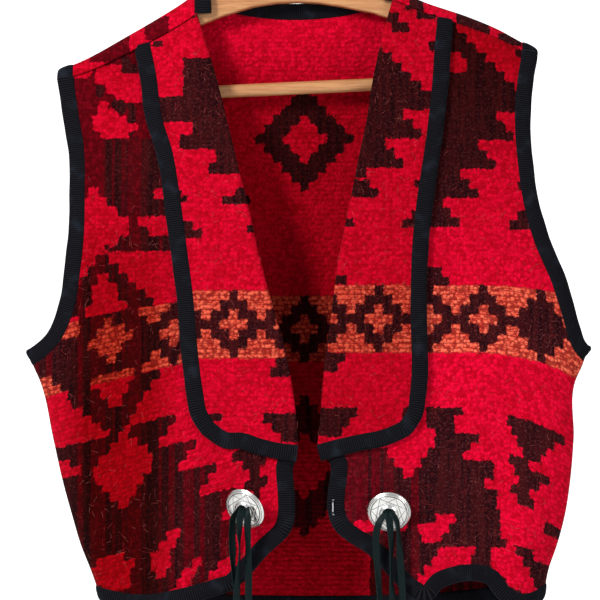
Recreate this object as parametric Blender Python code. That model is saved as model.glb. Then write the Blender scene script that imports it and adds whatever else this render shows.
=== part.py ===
"""A western vest of patterned blanket wool, hanging open on a wooden hanger.

Metres, +Z up, the viewer at -Y. The origin is the inside top of the hanger's hook, where a rod carries it.
Left and right are the viewer's. Tables are in millimetres: x from the middle, drop below the origin.
"""

import math

import bpy
import numpy as np

MM = 0.001
WALL = 2.4 * MM  # felted wool
SEAM_GAP = 0.3 * MM

# Knitted binding: its gap to the cloth's edge, its width past that edge and its half thickness
BINDING_GAP = 0.6 * MM
BINDING_WIDTH = 12.4 * MM
BINDING_HALF = 2.7 * MM

# The lapel lies this far in front of the front, measured between the middles of the two walls
LAPEL_RISE = 4.6 * MM

CONCHO_RADIUS = 20.0 * MM
CONCHO_HOLE = 5.0 * MM

LACE_WIDTH = 6.6 * MM

EYE_WIRE = 0.75 * MM  # radius
EYE_HEIGHT = 13 * MM
EYE_DROP = 565.5 * MM
EYE_FOOT = 2.4 * MM

HOOK_WIRE = 1.9 * MM  # radius
HOOK_BOW = 21.0 * MM  # radius to the middle of the wire
HOOK_STEM_END = 65.6 * MM
BAR_RADIUS = 6.0 * MM

# How the cloth rounds over the hanger's arm, and how far below it the full depth is reached
ARM_ROUND = 14.0 * MM
FULL_DEPTH_AT = 170.0 * MM
SIDE_ROUND_X = 2.3
SIDE_ROUND_Y = 1.9

# The fold over the hanger: x, drop
RIDGE = [
    (-225, 165), (-200, 155), (-158, 132), (-111, 104), (-90, 90), (0, 84),
    (87, 88), (116, 100), (160, 115), (184, 125), (208, 138), (223, 146),
]  # fmt: skip

# Half sections of the hollow form: drop, left side x, right side x, depth to the front, depth to the back
BODY = [
    (60, -226, 234, 24, 18),
    (163, -238, 244, 31, 23),
    (300, -250, 264, 39, 29),
    (400, -252, 269, 42, 32),
    (434, -246, 264, 43, 33),
    (450, -239, 257, 44, 34),
    (506, -226, 255, 47, 36),
    (542, -218, 252, 49, 38),
    (575, -209, 247, 52, 40),
    (605, -200, 239, 55, 42),
    (625, -192, 232, 57, 43),
    (645, -185, 228, 59, 44),
    (680, -178, 222, 61, 45),
]

# Soft folds: face, top x, top drop, bottom x, bottom drop, half width, depth inwards
FOLDS = [
    ("front", -168, 270, -142, 700, 30, 13),
    ("front", -104, 330, -86, 700, 24, -4),
    ("front", -212, 400, -186, 660, 16, -3),
    ("front", -72, 470, -80, 640, 20, 7),
    ("front", 150, 190, 136, 480, 26, 4),
    ("front", 196, 440, 172, 700, 22, 8),
    ("front", 100, 520, 128, 700, 20, -5),
    ("back", -120, 250, -96, 710, 34, 10),
    ("back", -10, 190, 12, 710, 40, -4),
    ("back", 128, 280, 104, 710, 30, 9),
    ("back", 190, 420, 176, 700, 20, -3),
]

# How far the back panel comes forward over the shoulder: x, width of the strip
SHOULDER_STRIP = [(-215, 9), (-151, 16), (-90, 19), (0, 14), (87, 10), (145, 9), (215, 6)]

# The cloth's edge inside the armhole's binding, from the shoulder to the underarm: x, drop
ARMHOLE = {
    "left": [
        (-211, 168), (-206, 201), (-200, 238), (-199, 275), (-200, 321), (-203, 348),
        (-207, 376), (-213, 396), (-221, 412), (-232, 424), (-241, 431), (-246, 434),
    ],
    "right": [
        (210, 147), (206, 170), (203, 201), (203, 220), (205, 248), (210, 286),
        (219, 319), (237, 362), (245, 387), (250, 404), (256, 420), (264, 430),
    ],
}  # fmt: skip

# The lapel's rolled edge, from the shoulder seam to the lapel's tip: x, drop
FOLD_EDGE = {
    "left": [
        (-93, 109), (-75, 172), (-63, 220), (-55, 253), (-47, 284), (-34.5, 339),
        (-21, 389), (-13, 416), (-8, 439), (-4.5, 460), (-1, 490), (0, 511),
    ],
    "right": [
        (87, 98), (76, 140), (68, 178), (63, 211), (57, 239), (48, 284),
        (37, 339), (29, 400), (25, 427), (22, 460), (19, 498), (17.5, 510),
    ],
}  # fmt: skip

# The cloth's edge inside the front edge's binding, from under the lapel to the hem's point: x, drop
FRONT_EDGE = {
    "left": [
        (-10, 506), (-17, 526), (-16, 552), (-16, 572), (-19, 583), (-31, 594),
        (-44, 608), (-55, 621), (-64, 630),
    ],
    "right": [
        (30, 502), (42, 522), (42, 541), (40, 556), (41, 572), (48, 583),
        (60, 590), (78, 604), (91, 618), (103, 631), (115, 639),
    ],
}  # fmt: skip

# The cloth's edge inside the hem's binding, from the point to the side seam: x, drop
FRONT_HEM = {
    "left": [(-64, 630), (-84, 636), (-109, 643), (-134, 649), (-160, 649), (-185, 643)],
    "right": [
        (115, 639), (124, 629), (136, 624), (153, 621), (169, 622), (182, 628),
        (190, 639), (202, 648), (215, 648), (228, 641),
    ],
}  # fmt: skip

# The lapel's edge inside its binding, from the shoulder seam to its lower corner: x, drop
LAPEL_SIDE = {
    "left": [
        (-139, 135), (-132, 174), (-128, 205), (-117, 241), (-110, 284), (-105, 321),
        (-98, 376), (-95, 413), (-89, 462), (-86, 478), (-79, 490),
    ],
    "right": [
        (131, 114), (128, 146), (126, 174), (123, 201), (118, 238), (111, 284),
        (107, 321), (105, 376), (104, 462), (101, 480), (94, 490),
    ],
}  # fmt: skip

# The lapel's edge inside its binding, from the rolled edge to the lower corner: x, drop
LAPEL_FOOT = {
    "left": [(0, 511), (-19, 509), (-35, 505), (-50, 500), (-65, 499), (-79, 490)],
    "right": [(17.5, 510), (40, 505), (59, 501), (78, 497), (94, 490)],
}

BACK_NECK_DROP = 112  # at the middle of the back neckline
BACK_NECK_CORNER = {"left": (-80, 99), "right": (78, 98)}
BACK_HEM = [(-185, 643), (-120, 652), (-30, 657), (60, 657), (150, 652), (228, 641)]

# Rows and columns of the cloth's sections
ARMHOLE_ROWS = 12
ARMHOLE_CLUSTER = 1.4
LAPEL_ROWS = 16  # from the shoulder seam to the lapel's tip
FRONT_ROWS = 28
FRONT_COLUMNS = 13
LAPEL_COLUMNS = 6
ROLL_STEPS = 4
SIDE_CLUSTER = 1.6
BACK_ROWS = 22
NECK_COLUMNS = 8
SHOULDER_COLUMNS = 8

# Silver conchos: x, drop, turn to the side and down (degrees), middle in front of the cloth's middle
CONCHOS = {"left": (-46.5, 567, -32, 26, 12.6), "right": (82.8, 570, -4, 24, 10.8)}

# Laces out of the conchos: x, drop and how far in front of the hanger's plane, at each bend
LACES = {
    "left_1": [
        (-58.3, 569, 65.6), (-60, 582, 64.5), (-60, 598, 62.5), (-59, 622, 62), (-57.5, 650, 61.5),
        (-57.5, 690, 61), (-59, 716, 61),
    ],
    "left_2": [
        (-52.5, 569, 70.1), (-53.2, 582, 72), (-53, 600, 71), (-54, 625, 69.5), (-56, 650, 69),
        (-57, 680, 68.5), (-56, 705, 68.5),
    ],
    "left_3": [
        (-45.9, 569, 72.8), (-45.8, 582, 72), (-45.4, 600, 68), (-45, 622, 64.5), (-45, 645, 63.5),
        (-45.5, 690, 63), (-46.5, 722, 63),
    ],
    "right_1": [
        (75, 572, 68.8), (71, 584, 68), (71, 600, 66.5), (72.5, 622, 65.5), (74.5, 650, 65),
        (74, 690, 64.5), (75, 724, 64.5),
    ],
    "right_2": [
        (82.3, 572.4, 70.2), (84, 584, 70), (85, 600, 68), (84.5, 622, 66.5), (86.5, 650, 66),
        (87.5, 680, 65.5), (86.5, 704, 65.5),
    ],
    "right_3": [
        (89.4, 572.2, 69.8), (91.2, 584, 69), (92.5, 600, 67.5), (93.5, 622, 66), (95.5, 650, 65),
        (96, 690, 64.5), (94.5, 714, 64.5),
    ],
}  # fmt: skip
LACE_POINT_EVERY = 2.4  # lace widths

# The hanger's arms: x, bottom drop, half thickness
HANGER = [
    (-204, 184, 3.6), (-200, 194, 4.6), (-190, 197, 5.4), (-178.5, 197, 6.0), (-178, 168, 6.0),
    (-160, 158, 6.4), (-130, 142, 6.8), (-100, 125, 7.0), (-70, 113, 7.2), (-40, 104, 7.6),
    (-20, 101, 8.0), (0, 100, 8.0), (20, 101, 8.0), (40, 104, 7.6), (70, 110, 7.2),
    (100, 120, 7.0), (130, 129, 6.8), (160, 139, 6.4), (178, 148, 6.0), (178.5, 180, 6.0),
    (190, 180, 5.4), (200, 177, 4.6), (204, 168, 3.6),
]  # fmt: skip
HANGER_UNDER_CLOTH = 2.5 * MM  # from the middle of the cloth over the arms to their wood
HANGER_UNDER_NECK = 5.2 * MM  # the same under the neck's binding, which hangs lower
HANGER_CENTRE_DROP = 66
BAR_DROP = 180  # at x = -20
BAR_SLOPE = -0.046
BAR_END = 177.6

COLOURS = {
    "wool": ((0.42, 0.02, 0.03), 0.95, 0.0),
    "binding": ((0.012, 0.014, 0.02), 0.9, 0.0),
    "silver": ((0.78, 0.78, 0.76), 0.28, 1.0),
    "lace": ((0.01, 0.03, 0.03), 0.55, 0.0),
    "wood": ((0.55, 0.27, 0.10), 0.5, 0.0),
    "steel": ((0.62, 0.62, 0.63), 0.25, 1.0),
}


def unit(vectors):
    """The vectors along the last axis, at length 1."""
    return vectors / np.maximum(np.linalg.norm(vectors, axis=-1, keepdims=True), 1e-12)


def eased(keys, values, at):
    """A smooth curve through the values, whose slopes are those between their neighbours."""
    keys, values = np.asarray(keys, float), np.asarray(values, float)
    slopes = np.gradient(values, keys)
    at = np.clip(at, keys[0], keys[-1])
    i = np.clip(np.searchsorted(keys, at) - 1, 0, len(keys) - 2)
    step = keys[i + 1] - keys[i]
    t = (at - keys[i]) / step
    rise = values[i + 1] - values[i]
    return (
        values[i]
        + rise * (3 * t**2 - 2 * t**3)
        + step * (slopes[i] * (t**3 - 2 * t**2 + t) + slopes[i + 1] * (t**3 - t**2))
    )


def along(rows, shares):
    """Points of a smooth line through the table's rows, at shares of its length, in metres."""
    rows = np.array(rows, float) * MM
    lengths = np.concatenate([[0], np.cumsum(np.linalg.norm(np.diff(rows, axis=0), axis=1))])
    at = np.asarray(shares, float) * lengths[-1]
    return np.stack([eased(lengths, rows[:, k], at) for k in range(rows.shape[1])], axis=-1)


def column(rows, number):
    return [row[number] for row in rows]


def ridge(x):
    """The drop of the fold over the hanger."""
    return eased(column(RIDGE, 0), column(RIDGE, 1), x / MM) * MM


def strip(x):
    return eased(column(SHOULDER_STRIP, 0), column(SHOULDER_STRIP, 1), x / MM) * MM


def body(drop):
    """The hollow form's left and right side and its depth to the front and to the back."""
    return [eased(column(BODY, 0), column(BODY, k), drop / MM) * MM for k in (1, 2, 3, 4)]


def fold_depth(face, x, drop):
    """How far the folds push a face inwards."""
    total = np.zeros_like(x)
    for fold_face, top_x, top, bottom_x, bottom, half_width, depth in FOLDS:
        if fold_face == face:
            share = np.clip((drop / MM - top) / (bottom - top), 0, 1)
            middle = (top_x + (bottom_x - top_x) * share) * MM
            away = (x - middle) / (half_width * MM)
            grown = share * (2 - share)
            total += depth * MM * grown * np.exp(-(away**2))
    return total


def depth_at(face, x, drop):
    """How far in front of, or behind, the plane of the hanger the middle of the cloth lies."""
    x, drop = np.asarray(x, float), np.asarray(drop, float)
    left, right, front, back = body(drop)
    full = front if face == "front" else back
    across = np.clip(np.abs((2 * x - left - right) / (right - left)), 0, 1)
    rounded = (1 - across**SIDE_ROUND_X) ** (1 / SIDE_ROUND_Y)
    below = np.maximum(drop - ridge(x), 0)
    over_arm = np.sqrt(1 - (1 - np.minimum(below / ARM_ROUND, 1)) ** 2)
    share = np.clip(below / FULL_DEPTH_AT, 0, 1)
    growth = share**2 * (3 - 2 * share)
    plain = rounded * (ARM_ROUND * over_arm + (full - ARM_ROUND) * growth)
    return np.maximum(plain - fold_depth(face, x, drop) * np.minimum(plain / (20 * MM), 1), 0)


def on_face(face, x, drop):
    """Points of the cloth's middle on one face."""
    side = -1 if face == "front" else 1
    return np.stack([x, side * depth_at(face, x, drop), -drop], axis=-1)


def normals_on(face, x, drop):
    """Outward directions of a face, from its slopes."""
    step = 0.4 * MM
    side = -1 if face == "front" else 1
    left, right, _, _ = body(drop)
    x = np.clip(x, left + 1.5 * step, right - 1.5 * step)
    drop = np.maximum(drop, ridge(x) + 1.5 * step)
    across = (depth_at(face, x + step, drop) - depth_at(face, x - step, drop)) / (2 * step)
    down = (depth_at(face, x, drop + step) - depth_at(face, x, drop - step)) / (2 * step)
    return unit(np.stack([-across, np.full_like(across, side), down], axis=-1))


def material(name):
    if name in bpy.data.materials:
        return bpy.data.materials[name]
    colour, roughness, metallic = COLOURS[name]
    made = bpy.data.materials.new(name)
    made.use_nodes = True
    shader = made.node_tree.nodes["Principled BSDF"]
    shader.inputs["Base Color"].default_value = (*colour, 1)
    shader.inputs["Roughness"].default_value = roughness
    shader.inputs["Metallic"].default_value = metallic
    return made


def solid(name, points, faces, finish, smooth=True):
    """A named object, with its faces turned outwards."""
    mesh = bpy.data.meshes.new(name)
    mesh.from_pydata([tuple(p) for p in points], [], faces)
    mesh.validate()
    made = bpy.data.objects.new(name, mesh)
    bpy.context.scene.collection.objects.link(made)
    mesh.materials.append(material(finish))
    corners = np.array(points)
    volume = 0.0
    for face in faces:
        a = corners[face[0]]
        for b, c in zip(face[1:-1], face[2:], strict=True):
            volume += np.dot(a, np.cross(corners[b], corners[c]))
    if volume < 0:
        mesh.flip_normals()
    if smooth:
        mesh.shade_smooth()
        mesh.set_sharp_from_angle(angle=math.radians(45))
    return made


def cloth(name, points, normals, present=None):
    """A wall over a grid of points, half its thickness to each side. present says which cells are cloth."""
    rows, columns = points.shape[:2]
    if present is None:
        present = np.ones((rows - 1, columns - 1), bool)
    used = np.zeros((rows, columns), bool)
    for i, j in np.argwhere(present):
        used[i : i + 2, j : j + 2] = True
    number = np.full((rows, columns), -1)
    number[used] = np.arange(used.sum())
    middle, out = points[used], normals[used]
    count = len(middle)
    faces, edges = [], {}
    for i, j in np.argwhere(present):
        ring = [number[i, j], number[i, j + 1], number[i + 1, j + 1], number[i + 1, j]]
        falling = np.linalg.norm(points[i, j] - points[i + 1, j + 1])
        rising = np.linalg.norm(points[i, j + 1] - points[i + 1, j])
        if falling > rising:
            ring = ring[1:] + ring[:1]
        for triangle in (ring[:3], [ring[0], ring[2], ring[3]]):
            faces.append(triangle)
            faces.append([count + k for k in reversed(triangle)])
        for a, b in zip(ring, ring[1:] + ring[:1], strict=True):
            if (b, a) in edges:
                del edges[(b, a)]
            else:
                edges[(a, b)] = True
    for a, b in edges:
        faces.append([b, a, count + a])
        faces.append([b, count + a, count + b])
    both = np.concatenate([middle + out * WALL / 2, middle - out * WALL / 2])
    return solid(name, both, [[int(k) for k in face] for face in faces], "wool")


def swept(name, rings, finish, closed=False):
    """A solid through rings of points, closed into a loop or with a flat cap at each end."""
    count, size = len(rings), len(rings[0])
    faces = []
    for i in range(count if closed else count - 1):
        here, there = i * size, (i + 1) % count * size
        for k in range(size):
            after = (k + 1) % size
            faces.append([here + k, here + after, there + after])
            faces.append([here + k, there + after, there + k])
    if not closed:
        faces.append(list(reversed(range(size))))
        faces.append([(count - 1) * size + k for k in range(size)])
    return solid(name, np.concatenate(rings), faces, finish)


def binding(name, path, normals, outwards, closed=False, ends=()):
    """A rounded knitted band past the cloth's edge. outwards point away from the cloth.

    ends are those of the path's end points where the band is cut square, at a side seam.
    """
    before, after = np.roll(path, 1, axis=0), np.roll(path, -1, axis=0)
    if not closed:
        before[0], after[-1] = path[0], path[-1]
    tangents = unit(after - before)
    for end in ends:
        tangents[end] = (0, 1 if tangents[end][1] > 0 else -1, 0)
    level = outwards - (outwards * normals).sum(-1, keepdims=True) * normals
    out = unit(level - (level * tangents).sum(-1, keepdims=True) * tangents)
    across = np.cross(out, tangents)
    normals = across * np.sign((across * normals).sum(-1, keepdims=True))
    inner, width, half = BINDING_GAP, BINDING_WIDTH, BINDING_HALF
    profile = [
        (inner, -0.7 * half), (inner + 0.08 * width, -half), (0.78 * width, -half), (width, -0.5 * half),
        (width, 0.5 * half), (0.78 * width, half), (inner + 0.08 * width, half), (inner, 0.7 * half),
    ]  # fmt: skip
    rings = [np.stack([path[i] + a * out[i] + b * normals[i] for a, b in profile]) for i in range(len(path))]
    return swept(name, rings, "binding", closed)


def patch(top, bottom, inner, outer, column_shares):
    """A grid between four edges. inner and outer have a point a row, top and bottom one a column."""
    v = np.linspace(0, 1, len(inner))[:, None, None]
    u = np.asarray(column_shares)[None, :, None]
    return (
        (1 - v) * top[None]
        + v * bottom[None]
        + (1 - u) * inner[:, None]
        + u * outer[:, None]
        - (1 - u) * (1 - v) * top[0]
        - u * (1 - v) * top[-1]
        - (1 - u) * v * bottom[0]
        - u * v * bottom[-1]
    )


def seam_line(start_x, end_x, shares, lower=0.0):
    """The front shoulder seam between two places, as x and drop."""
    x = start_x + (end_x - start_x) * np.asarray(shares)
    return np.stack([x, ridge(x) + strip(x) + lower], axis=-1)


def inward_sign(side):
    return 1 if side == "left" else -1


def arm_line(rows, count):
    """Points along an armhole, closer together towards the underarm."""
    return along(rows, 1 - (1 - np.linspace(0, 1, count + 1)) ** ARMHOLE_CLUSTER)


def panel_inner_edge(side):
    """The front's edge towards the opening: behind the roll of the lapel, then inside its own binding."""
    roll = LAPEL_RISE / 2 + WALL / 2 + 3 * SEAM_GAP
    fold = along(FOLD_EDGE[side], np.linspace(0, 1, LAPEL_ROWS + 1))
    fold[:, 0] -= inward_sign(side) * roll
    lower = along(FRONT_EDGE[side], np.linspace(0, 1, FRONT_ROWS - LAPEL_ROWS + 2))
    return np.concatenate([fold[:-1], lower[1:]])


def front_grid(side):
    """A front's points and outward directions."""
    shares = 1 - (1 - np.linspace(0, 1, FRONT_COLUMNS + 1)) ** SIDE_CLUSTER
    inner = panel_inner_edge(side)
    arm = arm_line(ARMHOLE[side], ARMHOLE_ROWS)
    side_drop = np.linspace(arm[-1][1], FRONT_HEM[side][-1][1] * MM, FRONT_ROWS - ARMHOLE_ROWS + 1)
    left, right, _, _ = body(side_drop)
    seam = np.stack([left if side == "left" else right, side_drop], axis=-1)
    outer = np.concatenate([arm[:-1], seam])
    top = seam_line(inner[0][0], outer[0][0], shares, SEAM_GAP)
    inner[0], outer[0] = top[0], top[-1]
    bottom = along(FRONT_HEM[side], shares)
    bottom[0], bottom[-1] = inner[-1], outer[-1]
    flat = patch(top, bottom, inner, outer, shares)
    x, drop = flat[..., 0], flat[..., 1]
    points, normals = on_face("front", x, drop), normals_on("front", x, drop)
    points[ARMHOLE_ROWS:, -1, 1] = -SEAM_GAP / 2
    normals[ARMHOLE_ROWS:, -1, 1] = 0
    return points, unit(normals)


def lapel_grid(side):
    """A lapel's points and outward directions: the roll at the opening, then what lies on the front."""
    row_shares = np.linspace(0, 1, LAPEL_ROWS + 1)
    shares = np.linspace(0, 1, LAPEL_COLUMNS + 1)
    fold = along(FOLD_EDGE[side], row_shares)
    fold[:, 0] -= inward_sign(side) * (LAPEL_RISE / 2 + WALL / 2)
    outer = along(LAPEL_SIDE[side], row_shares)
    top = seam_line(fold[0][0], outer[0][0], shares, 4 * SEAM_GAP)
    fold[0], outer[0] = top[0], top[-1]
    bottom = along(LAPEL_FOOT[side], shares)
    bottom[0], bottom[-1] = fold[-1], outer[-1]
    flat = patch(top, bottom, fold, outer, shares)
    x, drop = flat[..., 0], flat[..., 1]
    under, out = on_face("front", x, drop), normals_on("front", x, drop)
    over = under + out * LAPEL_RISE
    edge, edge_out = under[:, 0], out[:, 0]
    lengthways = unit(np.gradient(edge, axis=0))
    away = unit(np.cross(lengthways, edge_out)) * inward_sign(side)
    away *= np.sign(away[:, :1] * inward_sign(side))
    turns = np.linspace(-math.pi / 2, math.pi / 2, ROLL_STEPS + 1)[:-1]
    middle = edge + edge_out * LAPEL_RISE / 2
    roll = [middle + (away * math.cos(t) + edge_out * math.sin(t)) * LAPEL_RISE / 2 for t in turns]
    roll_out = [unit(away * math.cos(t) + edge_out * math.sin(t)) for t in turns]
    points = np.concatenate([np.stack(roll, axis=1), over], axis=1)
    return points, np.concatenate([np.stack(roll_out, axis=1), out], axis=1)


def back_grid():
    """The back's points and outward directions, and which cells are cloth.

    The first rows run from the front shoulder seams up and over the hanger, beside the neck's hollow.
    """
    over = 7  # rows from the front seam, over the fold, to the neck's corner
    middle = np.linspace(0, 1, NECK_COLUMNS + 1)
    shoulder = np.linspace(0, 1, SHOULDER_COLUMNS + 1) ** SIDE_CLUSTER
    columns = 2 * SHOULDER_COLUMNS + NECK_COLUMNS + 1
    first, last = SHOULDER_COLUMNS, SHOULDER_COLUMNS + NECK_COLUMNS
    rows = over + BACK_ROWS
    flat = np.zeros((rows + 1, columns, 2))
    forward = np.zeros((rows + 1, columns), bool)
    arm = {side: arm_line(ARMHOLE[side], ARMHOLE_ROWS) for side in ARMHOLE}
    neck = {side: np.array(BACK_NECK_CORNER[side]) * MM for side in ARMHOLE}
    neck_top = {"left": -93 * MM, "right": 87 * MM}

    # Shoulder strips, from the front seam over the fold to the row of the neck's corner
    for side, outer_column, inner_column in (("left", 0, first), ("right", columns - 1, last)):
        step = 1 if side == "left" else -1
        tip = arm[side][0][0]
        for k in range(over + 1):
            share = k / over
            turn = eased([0, 0.43, 1], [-1, 0, 1], share)
            inward = max(turn, 0) ** 2.2
            inner_x = neck_top[side] + (neck[side][0] - neck_top[side]) * inward
            x = tip + (inner_x - tip) * shoulder
            behind = (neck[side][1] - ridge(neck[side][0])) * max(turn, 0) ** 1.6
            fore = strip(x) * max(-turn, 0) ** 1.6
            target = np.arange(outer_column, inner_column + step, step)
            flat[k, target, 0] = x
            flat[k, target, 1] = ridge(x) + np.where(turn < 0, fore, behind)
            forward[k, target] = turn < 0

    # The neckline itself
    neck_x = neck["left"][0] + (neck["right"][0] - neck["left"][0]) * middle
    scoop = BACK_NECK_DROP * MM - (neck["left"][1] + neck["right"][1]) / 2
    chord = neck["left"][1] + (neck["right"][1] - neck["left"][1]) * middle
    flat[over, first : last + 1, 0] = neck_x
    flat[over, first : last + 1, 1] = chord + scoop * np.sin(math.pi * middle) ** 0.7

    # From there down to the hem, between the armholes and then the side seams
    top = flat[over].copy()
    shares = (top[:, 0] - top[0, 0]) / (top[-1, 0] - top[0, 0])
    spread = 0.5 - 0.5 * np.cos(math.pi * shares)
    top_shares = shares
    shares = 0.45 * shares + 0.55 * spread
    sides = {}
    arm_rows = 10
    for side in ARMHOLE:
        start = flat[over, 0 if side == "left" else columns - 1]
        path = arm[side][arm[side][:, 1] > start[1] + 4 * MM]
        lower = arm_line(np.vstack([start, path]) / MM, arm_rows)
        drop = np.linspace(lower[-1][1], FRONT_HEM[side][-1][1] * MM, BACK_ROWS - arm_rows + 1)
        left, right, _, _ = body(drop)
        seam = np.stack([left if side == "left" else right, drop], axis=-1)
        sides[side] = np.concatenate([lower[:-1], seam])
    hem_x = sides["left"][-1][0] + (sides["right"][-1][0] - sides["left"][-1][0]) * shares
    hem = np.stack([hem_x, eased(column(BACK_HEM, 0), column(BACK_HEM, 1), hem_x / MM) * MM], axis=-1)
    hem[0], hem[-1] = sides["left"][-1], sides["right"][-1]
    v = np.linspace(0, 1, BACK_ROWS + 1)[:, None]
    row_shares = (1 - v) * top_shares[None] + v * shares[None]
    for k in range(BACK_ROWS + 1):
        share = k / BACK_ROWS
        u = row_shares[k][:, None]
        flat[over + k] = (
            (1 - share) * top + share * hem
            + (1 - u) * (sides["left"][k] - (1 - share) * top[0] - share * hem[0])
            + u * (sides["right"][k] - (1 - share) * top[-1] - share * hem[-1])
        )  # fmt: skip

    x, drop = flat[..., 0], flat[..., 1]
    points = np.where(forward[..., None], on_face("front", x, drop), on_face("back", x, drop))
    front_out, back_out = normals_on("front", x, drop), normals_on("back", x, drop)
    normals = np.where(forward[..., None], front_out, back_out)
    on_fold = drop < ridge(x) + 0.3 * MM
    normals[on_fold] = unit(front_out + back_out)[on_fold]
    under_arm = over + arm_rows
    for j in (0, columns - 1):
        points[under_arm:, j, 1] = SEAM_GAP / 2
        normals[under_arm:, j, 1] = 0
    present = np.ones((rows, columns - 1), bool)
    present[:over, first:last] = False
    return points, unit(normals), present, over, under_arm, (first, last)


def armhole_binding(side, front, back):
    """One closed band: down the front's edge, and up the back's over the shoulder."""
    (points, normals), (back_points, back_normals, _, _, under_arm, _) = front, back
    j, inner = (0, 1) if side == "left" else (-1, -2)
    down = slice(0, ARMHOLE_ROWS + 1)
    up = slice(under_arm, None, -1)
    path = np.concatenate([points[down, -1], back_points[up, j]])
    out = np.concatenate([normals[down, -1], back_normals[up, j]])
    away = np.concatenate([points[down, -1] - points[down, -2], back_points[up, j] - back_points[up, inner]])
    under = [ARMHOLE_ROWS, ARMHOLE_ROWS + 1]
    path[under[0]] = path[under].mean(axis=0) + np.array([0, 0, 3 * SEAM_GAP])
    out[under[0]] = unit(out[under].mean(axis=0))
    away[under[0]] = points[ARMHOLE_ROWS, -1] - points[ARMHOLE_ROWS + 1, -1]
    keep = np.ones(len(path), bool)
    keep[under[1]] = False
    keep[-1] = False
    path[0] = (path[0] + path[-1]) / 2
    return binding(f"binding_armhole_{side}", path[keep], out[keep], away[keep], closed=True)


def front_binding(side, points, normals):
    """The band down the front edge from under the lapel, round the point and along the hem."""
    start = LAPEL_ROWS + 1
    path = np.concatenate([points[start:, 0], points[-1, 1:]])
    out = np.concatenate([normals[start:, 0], normals[-1, 1:]])
    away = np.concatenate([points[start:, 0] - points[start:, 1], points[-1, 1:] - points[-2, 1:]])
    away[FRONT_ROWS - start] = points[-1, 0] - points[-2, 1]
    path[-1, 1] -= SEAM_GAP
    return binding(f"binding_front_{side}", path, out, away, ends=[-1])


def lapel_binding(side, points, normals):
    """The band down the lapel's side and along its foot to the rolled edge."""
    foot = slice(-2, ROLL_STEPS - 1, -1)
    path = np.concatenate([points[:, -1], points[-1, foot]])
    out = np.concatenate([normals[:, -1], normals[-1, foot]])
    away = np.concatenate([points[:, -1] - points[:, -2], points[-1, foot] - points[-2, foot]])
    return binding(f"binding_lapel_{side}", path, out, away)


def back_bindings(back):
    points, normals, _, over, _, (first, last) = back
    path = points[-1].copy()
    path[[0, -1], 1] += SEAM_GAP
    binding("binding_hem_back", path, normals[-1], points[-1] - points[-2], ends=[0, -1])
    left, right = slice(0, over), slice(over - 1, None, -1)
    path = np.concatenate([points[left, first], points[over, first : last + 1], points[right, last]])
    out = np.concatenate([normals[left, first], normals[over, first : last + 1], normals[right, last]])
    away = np.concatenate([
        points[left, first] - points[left, first - 1],
        points[over, first : last + 1] - points[over + 1, first : last + 1],
        points[right, last] - points[right, last + 1],
    ])  # fmt: skip
    binding("binding_neck_back", path, out, away)


def concho(side):
    """A domed silver disc with a hole, turned round its own axis and laid on the cloth."""
    x, drop, turn, tip, stand = CONCHOS[side]
    rim, shoulder, waist = CONCHO_RADIUS, 0.72 * CONCHO_RADIUS, 0.42 * CONCHO_RADIUS
    profile = [
        (rim, 0.4), (rim - 1.2 * MM, 1.6), (shoulder, 3.1), (waist, 4.2),
        (CONCHO_HOLE + 1.4 * MM, 5.4), (CONCHO_HOLE, 4.6), (CONCHO_HOLE + 0.4 * MM, 2.6),
        (waist, 2.4), (shoulder, 1.4), (rim - 1.0 * MM, 0.0),
    ]  # fmt: skip
    steps = 28
    place = on_face("front", np.array(x * MM), np.array(drop * MM))
    out = normals_on("front", np.array([x * MM]), np.array([drop * MM]))[0]
    side_turn, down_turn = math.radians(turn), math.radians(tip)
    axis = unit(np.array([math.sin(side_turn), -math.cos(side_turn), -math.sin(down_turn)]))
    across = unit(np.cross(axis, [0, 0, 1]))
    up = np.cross(across, axis)
    seat = place + out * stand * MM
    rings = []
    for k in range(steps):
        a = 2 * math.pi * k / steps
        spoke = across * math.cos(a) + up * math.sin(a)
        rings.append(np.stack([seat + spoke * radius + axis * rise * MM for radius, rise in profile]))
    return swept(f"concho_{side}", rings, "silver", closed=True)


def lace(name, rows):
    """A limp lace as a tube along its route."""
    rows = np.array(rows, float)
    length = np.linalg.norm(np.diff(rows, axis=0), axis=1).sum() * MM
    count = int(length / (LACE_POINT_EVERY * LACE_WIDTH)) + 2
    x, drop, fore = along(rows, np.linspace(0, 1, count)).T
    data = bpy.data.curves.new(f"lace_{name}", "CURVE")
    data.dimensions = "3D"
    data.bevel_depth = LACE_WIDTH / 2
    data.bevel_resolution = 2
    data.use_fill_caps = True
    line = data.splines.new("POLY")
    line.points.add(count - 1)
    for point, place in zip(line.points, np.stack([x, -fore, -drop], axis=-1), strict=True):
        point.co = (*place, 1)
    data.materials.append(material("lace"))
    made = bpy.data.objects.new(f"lace_{name}", data)
    bpy.context.scene.collection.objects.link(made)


def wire_along(name, path, radius, finish, sides=8):
    """A round wire in the XZ plane."""
    tangents = unit(np.gradient(path, axis=0))
    rings = []
    for place, tangent in zip(path, tangents, strict=True):
        across = np.cross(tangent, [0, 1, 0])
        ring = []
        for k in range(sides):
            a = 2 * math.pi * k / sides
            ring.append(place + radius * (across * math.cos(a) + np.array([0, 1, 0]) * math.sin(a)))
        rings.append(np.stack(ring))
    return swept(name, rings, finish)


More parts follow.
